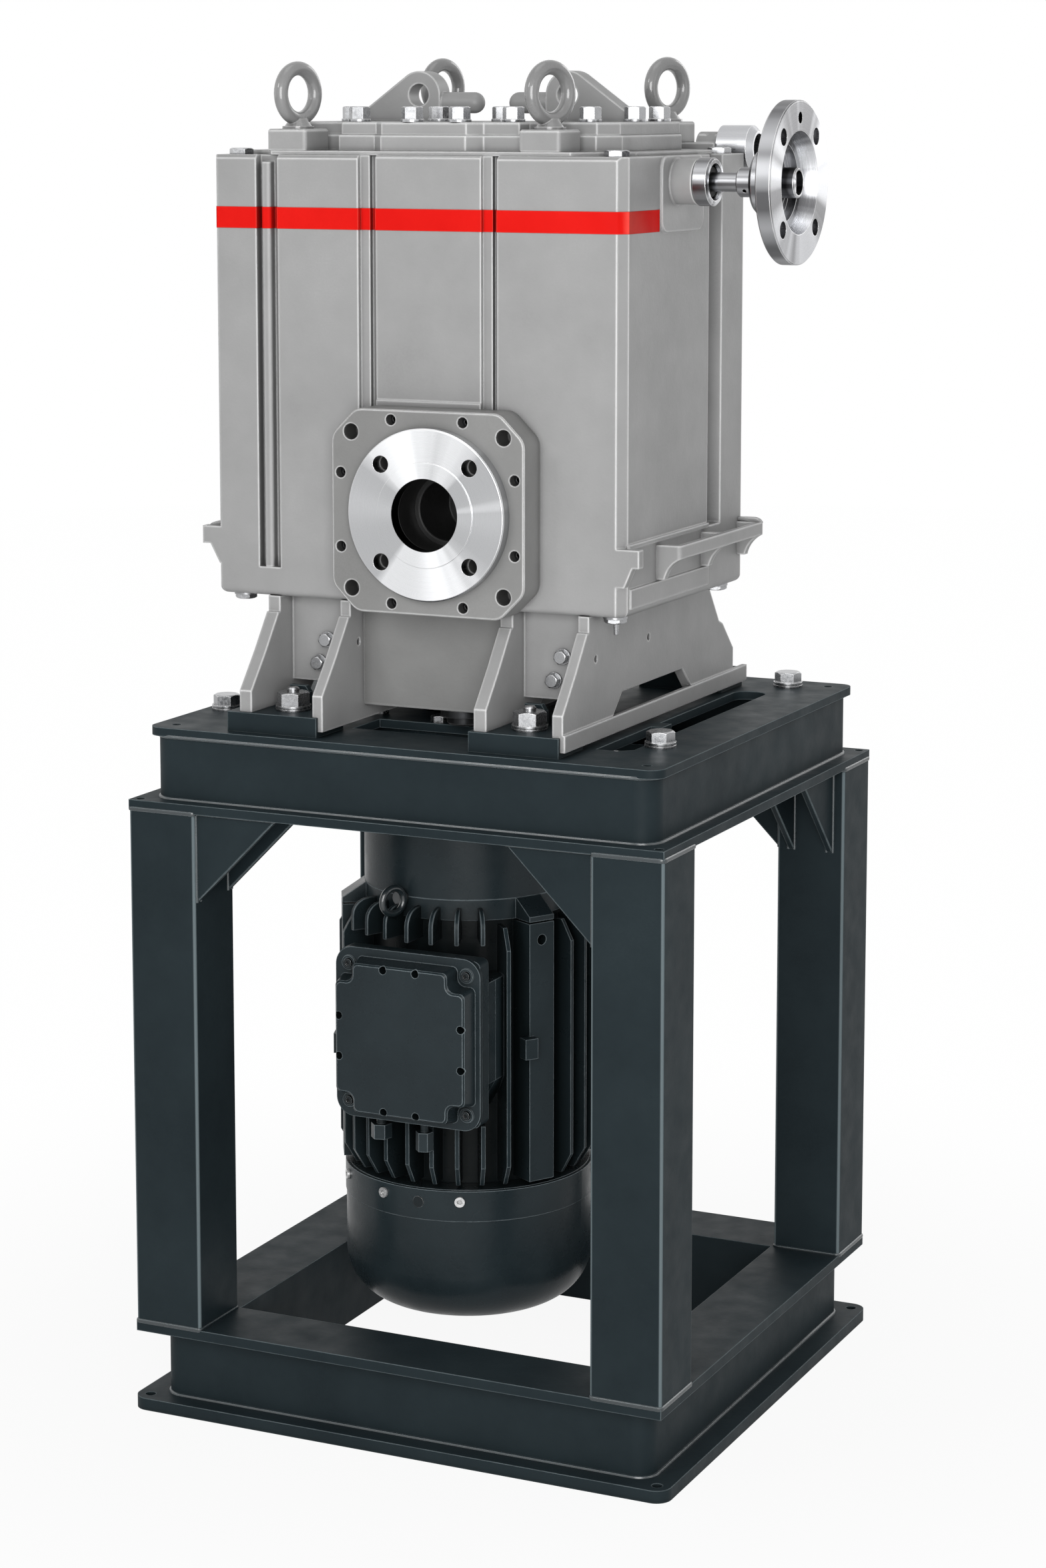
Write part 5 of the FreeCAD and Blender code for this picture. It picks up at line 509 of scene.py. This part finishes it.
# Each metal's edge colour is its painted edge highlight
bolt_steel = plain_metal("bolt_steel", (182, 183, 185), rough=0.26, edge=245)
dark_steel = plain_metal("dark_steel", (62, 63, 65), rough=0.42, edge=140)
shaft_steel = plain_metal("shaft_steel", (178, 179, 181), rough=0.25, stretch=(1, 1, 12))
claw_metal = plain_metal("claw_metal", (120, 121, 123), rough=0.45)
core_metal = plain_metal("core_metal", (105, 104, 102), rough=0.5, stretch=(1, 1, 30))
rubber = soft_plastic("rubber", 22, rough=0.7)
spider_rubber = soft_plastic("spider_rubber", (150, 34, 28), rough=0.6)
fan_plastic = soft_plastic("fan_plastic", 38, rough=0.55)

# The look of each material slot of the record, and of the nodes that differ from their slot's
LOOKS = {
    "pump_grey": pump_paint, "stand_dark": stand_paint, "motor_dark": motor_paint,
    "machined_steel": outlet_steel, "zinc_bolts": bolt_steel, "lifting_grey": eye_paint,
    "dark_screws": dark_steel, "case_steel": shaft_steel, "claw_iron": claw_metal,
    "core_steel": core_metal, "seal_rubber": rubber, "spider_rubber": spider_rubber,
    "fan_plastic": fan_plastic,
}
NODE_LOOKS = {
    "outlet_pad": pad_paint, "gearbox_case": pad_paint, "small_screws": screw_metal(),
    "motor_frame": frame_paint, "side_nut": port_steel, "side_tube": port_steel,
    "side_spider": port_steel, "side_ring": port_steel, "rear_collar": port_steel,
}
NODE_LOOKS.update({name: leg_paint for name in LEGS})

for part in frame["record"]["subparts"]:
    obj = nodes[part["node"]]
    obj.data.materials.clear()
    obj.data.materials.append(NODE_LOOKS.get(part["node"], LOOKS[part["material_slot"]]))


# Pieces that only the looks need

def new_piece(name, bm, material):
    """Turns a built mesh into a visible piece of the pump, with smooth curves and sharp edges."""
    mesh = bpy.data.meshes.new(name)
    bm.to_mesh(mesh)
    bm.free()
    obj = bpy.data.objects.new(name, mesh)
    bpy.context.scene.collection.objects.link(obj)
    mesh.materials.append(material)
    mesh.polygons.foreach_set("use_smooth", [True] * len(mesh.polygons))
    mesh.set_sharp_from_angle(angle=math.radians(SMOOTH_UP_TO_DEGREES))
    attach(obj, BODY)
    return obj


def drawn_plate(bm, outline, depth, bevel):
    """An outline drawn out along a vector in an empty mesh, with softened edges."""
    face = bm.faces.new([bm.verts.new(p) for p in outline])
    drawn = bmesh.ops.extrude_face_region(bm, geom=[face])
    top = [v for v in drawn["geom"] if isinstance(v, bmesh.types.BMVert)]
    bmesh.ops.translate(bm, vec=depth, verts=top)
    bmesh.ops.recalc_face_normals(bm, faces=bm.faces)
    bmesh.ops.bevel(bm, geom=bm.edges[:], offset=bevel, segments=2, affect="EDGES")


def add_plate(bm, outline, depth, bevel):
    """Adds a drawn plate to a mesh that may hold others."""
    plate = bmesh.new()
    drawn_plate(plate, outline, depth, bevel)
    mesh = bpy.data.meshes.new("plate")
    plate.to_mesh(mesh)
    plate.free()
    bm.from_mesh(mesh)
    bpy.data.meshes.remove(mesh)


def straight_path(start, end, outward):
    """Points along a straight seam, each with the direction out of it."""
    count = max(2, round((end - start).length / WELD_STEP))
    return [(start.lerp(end, k / count), outward) for k in range(count + 1)]


def rounded_path(low, high, z, radius):
    """Points round a rectangle with rounded corners, each with the direction out of it."""
    centres = ((high.x - radius, high.y - radius), (low.x + radius, high.y - radius),
               (low.x + radius, low.y + radius), (high.x - radius, low.y + radius))
    turns = max(3, int(radius * math.pi / 2 / WELD_STEP))
    corners = []
    for i, (cx, cy) in enumerate(centres):
        for j in range(turns + 1):
            angle = math.pi / 2 * (i + j / turns)
            outward = Vector((math.cos(angle), math.sin(angle), 0.0))
            corners.append((Vector((cx, cy, z)) + outward * radius, outward))
    path = []
    for (start, outward), (end, _) in zip(corners, corners[1:] + corners[:1]):
        count = max(1, round((end - start).length / WELD_STEP))
        path += [(start.lerp(end, k / count), outward) for k in range(count)]
    return path


def weld_bead(bm, path, bead, along, closed=True):
    """A rippled bead on a seam: an ellipse swept along the seam's points."""
    out_r, along_r = bead
    rings = []
    for i, (place, outward) in enumerate(path):
        ripple = 1.0 + WELD_RIPPLE * math.cos(i * math.pi)
        ring = []
        for k in range(WELD_SIDES):
            angle = 2 * math.pi * k / WELD_SIDES
            offset = outward * (out_r * math.cos(angle)) + along * (along_r * math.sin(angle))
            ring.append(bm.verts.new(place + offset * ripple))
        rings.append(ring)
    pairs = list(zip(rings, rings[1:]))
    if closed:
        pairs.append((rings[-1], rings[0]))
    else:
        bm.faces.new(rings[0])
        bm.faces.new(rings[-1][::-1])
    for a, b in pairs:
        for k in range(WELD_SIDES):
            n = (k + 1) % WELD_SIDES
            bm.faces.new((a[k], b[k], b[n], a[n]))


def weld_piece(name, bm):
    """Turns finished beads into one piece in the welds' paint."""
    bmesh.ops.recalc_face_normals(bm, faces=bm.faces)
    new_piece(name, bm, weld_paint)


def front_stripe():
    """A painted band that follows the block's front and its right side."""
    bm = bmesh.new()
    bm.from_mesh(nodes["pump_block"].data)
    cuts = (((0, 0, STRIPE_Z0), (0, 0, -1)), ((0, 0, STRIPE_Z1), (0, 0, 1)),
            ((0, STRIPE_SIDE_Y, 0), (0, 1, 0)))
    for place, direction in cuts:
        geometry = bm.verts[:] + bm.edges[:] + bm.faces[:]
        bmesh.ops.bisect_plane(bm, geom=geometry, plane_co=place, plane_no=direction,
                               clear_outer=True, dist=1e-6)

    def unpainted(face):
        """Whether a face is level, far inside the block, or on its left behind the front."""
        middle = face.calc_center_median()
        level = abs(face.normal.z) > 0.5
        inner = (middle.y > BLOCK_LOW.y + GROOVE_REACH
                 and middle.x < BLOCK_SIDE_X - GROOVE_REACH / 3)
        on_left = (face.normal.x < -0.9 and middle.x < BLOCK_LOW.x + STRIPE_LEFT_REACH
                   and middle.y > BLOCK_LOW.y + STRIPE_FACE_DEPTH)
        return level or inner or on_left

    bmesh.ops.delete(bm, geom=[face for face in bm.faces if unpainted(face)], context="FACES")
    bmesh.ops.remove_doubles(bm, verts=bm.verts, dist=1e-5)
    bmesh.ops.solidify(bm, geom=bm.faces[:], thickness=-STRIPE_T)
    bmesh.ops.recalc_face_normals(bm, faces=bm.faces)
    new_piece("front_stripe", bm, stripe_paint)


def stand_welds():
    """Beads round the ends of the legs, and where the stand's webs meet its plates."""
    bm = bmesh.new()
    for node in LEGS:
        low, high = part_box(node)
        for z in (low.z, high.z):
            weld_bead(bm, rounded_path(low, high, z, LEG_CORNER_R), LEG_BEAD, UP)
    weld_piece("leg_welds", bm)

    bm = bmesh.new()
    for low, high, z, radius in WEB_SEAMS:
        weld_bead(bm, rounded_path(Vector(low), Vector(high), z, radius), WEB_BEAD, UP)
    weld_piece("web_welds", bm)


def gusset_places():
    """Each corner plate's upper corner at its leg, the way it runs and the way it faces."""
    places = []
    for node in LEGS:
        low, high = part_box(node)
        middle = (low + high) / 2
        half = (high - low) / 2
        for axis in (0, 1):
            if axis == 1 and middle.y < 0:
                continue  # No plates show behind the front legs
            along = Vector((0, 0, 0))
            along[axis] = -1.0 if middle[axis] > 0 else 1.0
            side = Vector((0, 0, 0))
            side[1 - axis] = 1.0
            corner = middle + along * half[axis]
            corner.z = high.z
            reach = half[1 - axis] - GUSSET_INSETS[axis]
            for way in (-1, 1):
                places.append((corner + side * (way * reach), along, side * way))
    return places


def stand_gussets():
    """Triangular plates with softened edges in the place of the CAD node's, and their beads."""
    bm = bmesh.new()
    for corner, along, outward in gusset_places():
        inner = corner - outward * GUSSET_T
        outline = [inner, inner + along * GUSSET_L, inner - UP * GUSSET_L]
        add_plate(bm, outline, outward * GUSSET_T, GUSSET_BEVEL)
    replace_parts(new_piece("gusset_plates", bm, stand_paint), "stand_gussets")

    bm = bmesh.new()
    for corner, along, outward in gusset_places():
        for offset, facing in ((0.0, outward), (GUSSET_T, -outward)):
            start = corner - outward * offset
            for direction, across in ((-UP, along), (along, UP)):
                path = straight_path(start, start + direction * GUSSET_L, facing)
                weld_bead(bm, path, GUSSET_BEAD, across, closed=False)
    weld_piece("gusset_welds", bm)


def rail_strap():
    """The thin cast strap that closes the right rail's rear end."""
    low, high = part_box("rail_right")
    y = high.y - STRAP_FROM_REAR
    outline = [(low.x - 0.002, 0.0010), (low.x + 0.012, 0.0), (high.x - 0.009, -0.004),
               (high.x - 0.003, -0.008), (high.x - 0.0005, 0.0), (high.x - 0.004, 0.0035),
               (high.x - 0.009, 0.0052), (low.x + 0.010, 0.0052), (low.x - 0.002, 0.0048)]
    bm = bmesh.new()
    drawn_plate(bm, [(x, y, high.z + rise) for x, rise in outline], (0, STRAP_DEPTH, 0), STRAP_BEVEL)
    new_piece("rail_strap", bm, pump_paint)


def hook_cap():
    """A small cast cap behind the left front hook."""
    y = BLOCK_LOW.y + CAP_FROM_FRONT
    bm = bmesh.new()
    drawn_plate(bm, [(BLOCK_LOW.x + x, y, z) for x, z in CAP_OUTLINE], (0, CAP_DEPTH, 0), CAP_BEVEL)
    new_piece("hook_cap", bm, pump_paint)


def front_fins():
    """The tall tops of the motor's front fins, over their short ones above the box."""
    outline = [(FIN_ROOT, FIN_Z0), (FIN_TIP, FIN_Z0)]
    outline += [(FIN_TIP - FIN_ROUND_OUT * (1 - math.cos(a)), FIN_Z1 - FIN_ROUND_UP * (1 - math.sin(a)))
                for a in FIN_ROUND_ANGLES]
    outline.append((FIN_ROOT, FIN_Z1))
    bm = bmesh.new()
    for degrees in FIN_DEGREES:
        turn = Matrix.Rotation(math.radians(degrees), 3, "Z")
        places = [DRIVE_AXIS + turn @ Vector((r, -FIN_HALF_T, z)) for r, z in outline]
        add_plate(bm, places, turn @ Vector((0, 2 * FIN_HALF_T, 0)), FIN_BEVEL)
    new_piece("front_fins", bm, frame_paint)


def under_pin():
    """The dowel pin beside the block's right front under-screw."""
    bm = bmesh.new()
    bmesh.ops.create_cone(bm, cap_ends=True, segments=24, radius1=PIN_LOW_R, radius2=PIN_HIGH_R,
                          depth=PIN_LENGTH)
    bmesh.ops.bevel(bm, geom=bm.edges[:], offset=PIN_BEVEL, segments=1, affect="EDGES")
    bmesh.ops.translate(bm, vec=PIN_MIDDLE, verts=bm.verts)
    new_piece("under_pin", bm, bolt_steel)


# Lights, floor and camera

def area_light(name, place, aim, width, height, power):
    data = bpy.data.lights.new(name, "AREA")
    data.shape = "RECTANGLE"
    data.size = width
    data.size_y = height
    data.energy = power
    obj = bpy.data.objects.new(name, data)
    obj.location = place
    obj.rotation_euler = (Vector(aim) - Vector(place)).to_track_quat("-Z", "Y").to_euler()
    bpy.context.scene.collection.objects.link(obj)


def studio():
    """The lights, and a world that looks white but gives only a little light of its own."""
    for light in LIGHTS:
        area_light(*light)

    world = bpy.data.worlds.new("studio")
    bpy.context.scene.world = world
    world.use_nodes = True
    n = Nodes(world.node_tree)
    n.tree.nodes.clear()
    output = n.add("ShaderNodeOutputWorld")
    ray = n.add("ShaderNodeLightPath").outputs
    seen = n.math("MAXIMUM", ray["Is Camera Ray"], ray["Is Glossy Ray"])
    seen = n.math("MAXIMUM", seen, ray["Is Transmission Ray"])
    backgrounds = []
    for strength in (WORLD_LIGHT, 1.0):
        background = n.add("ShaderNodeBackground")
        background.inputs["Color"].default_value = (1.0, 1.0, 1.0, 1.0)
        background.inputs["Strength"].default_value = strength
        backgrounds.append(background.outputs[0])
    n.link(n.blend(seen, *backgrounds), output.inputs["Surface"])


def floor():
    """A wide floor that keeps the shadow and turns to plain white away from the stand."""
    bm = bmesh.new()
    bmesh.ops.create_circle(bm, cap_ends=True, radius=FLOOR_R, segments=64)
    mesh = bpy.data.meshes.new("floor")
    bm.to_mesh(mesh)
    bm.free()
    obj = bpy.data.objects.new("floor", mesh)
    bpy.context.scene.collection.objects.link(obj)

    s = Shader("floor")
    s.put("Base Color", (FLOOR_GREY, FLOOR_GREY, FLOOR_GREY, 1.0))
    s.put("Roughness", 0.9)
    ray = s.add("ShaderNodeLightPath").outputs
    white = s.ramp(s.vector_math("LENGTH", s.coords), FLOOR_SHARE_NEAR, FLOOR_SHARE_FAR,
                   FLOOR_WHITE_FROM, FLOOR_WHITE_TO, kind="SMOOTHSTEP")
    mirrored = s.math("MULTIPLY", ray["Is Glossy Ray"], FLOOR_IN_MIRRORS)
    seen = s.math("MAXIMUM", ray["Is Camera Ray"], mirrored)
    glow = s.add("ShaderNodeEmission").outputs[0]
    whole = s.blend(s.math("MULTIPLY", seen, white), s.surface.outputs[0], glow)
    s.link(whole, s.output.inputs["Surface"])
    mesh.materials.append(s.material)


def camera():
    data = bpy.data.cameras.new("camera")
    data.sensor_width = SENSOR
    data.lens = FOCAL_PX / PICTURE_HEIGHT_PX * SENSOR
    data.shift_y = (MIDDLE_Y_PX - PICTURE_HEIGHT_PX / 2) / PICTURE_HEIGHT_PX
    data.clip_end = 60.0
    obj = bpy.data.objects.new("camera", data)
    obj.location = CAMERA_PLACE
    obj.rotation_euler = (math.radians(90 - CAMERA_DOWN), 0.0, math.radians(CAMERA_TURN))
    bpy.context.scene.collection.objects.link(obj)
    bpy.context.scene.camera = obj


front_stripe()
stand_welds()
stand_gussets()
rail_strap()
hook_cap()
front_fins()
under_pin()
studio()
floor()
camera()
bpy.context.scene.view_settings.view_transform = "Standard"
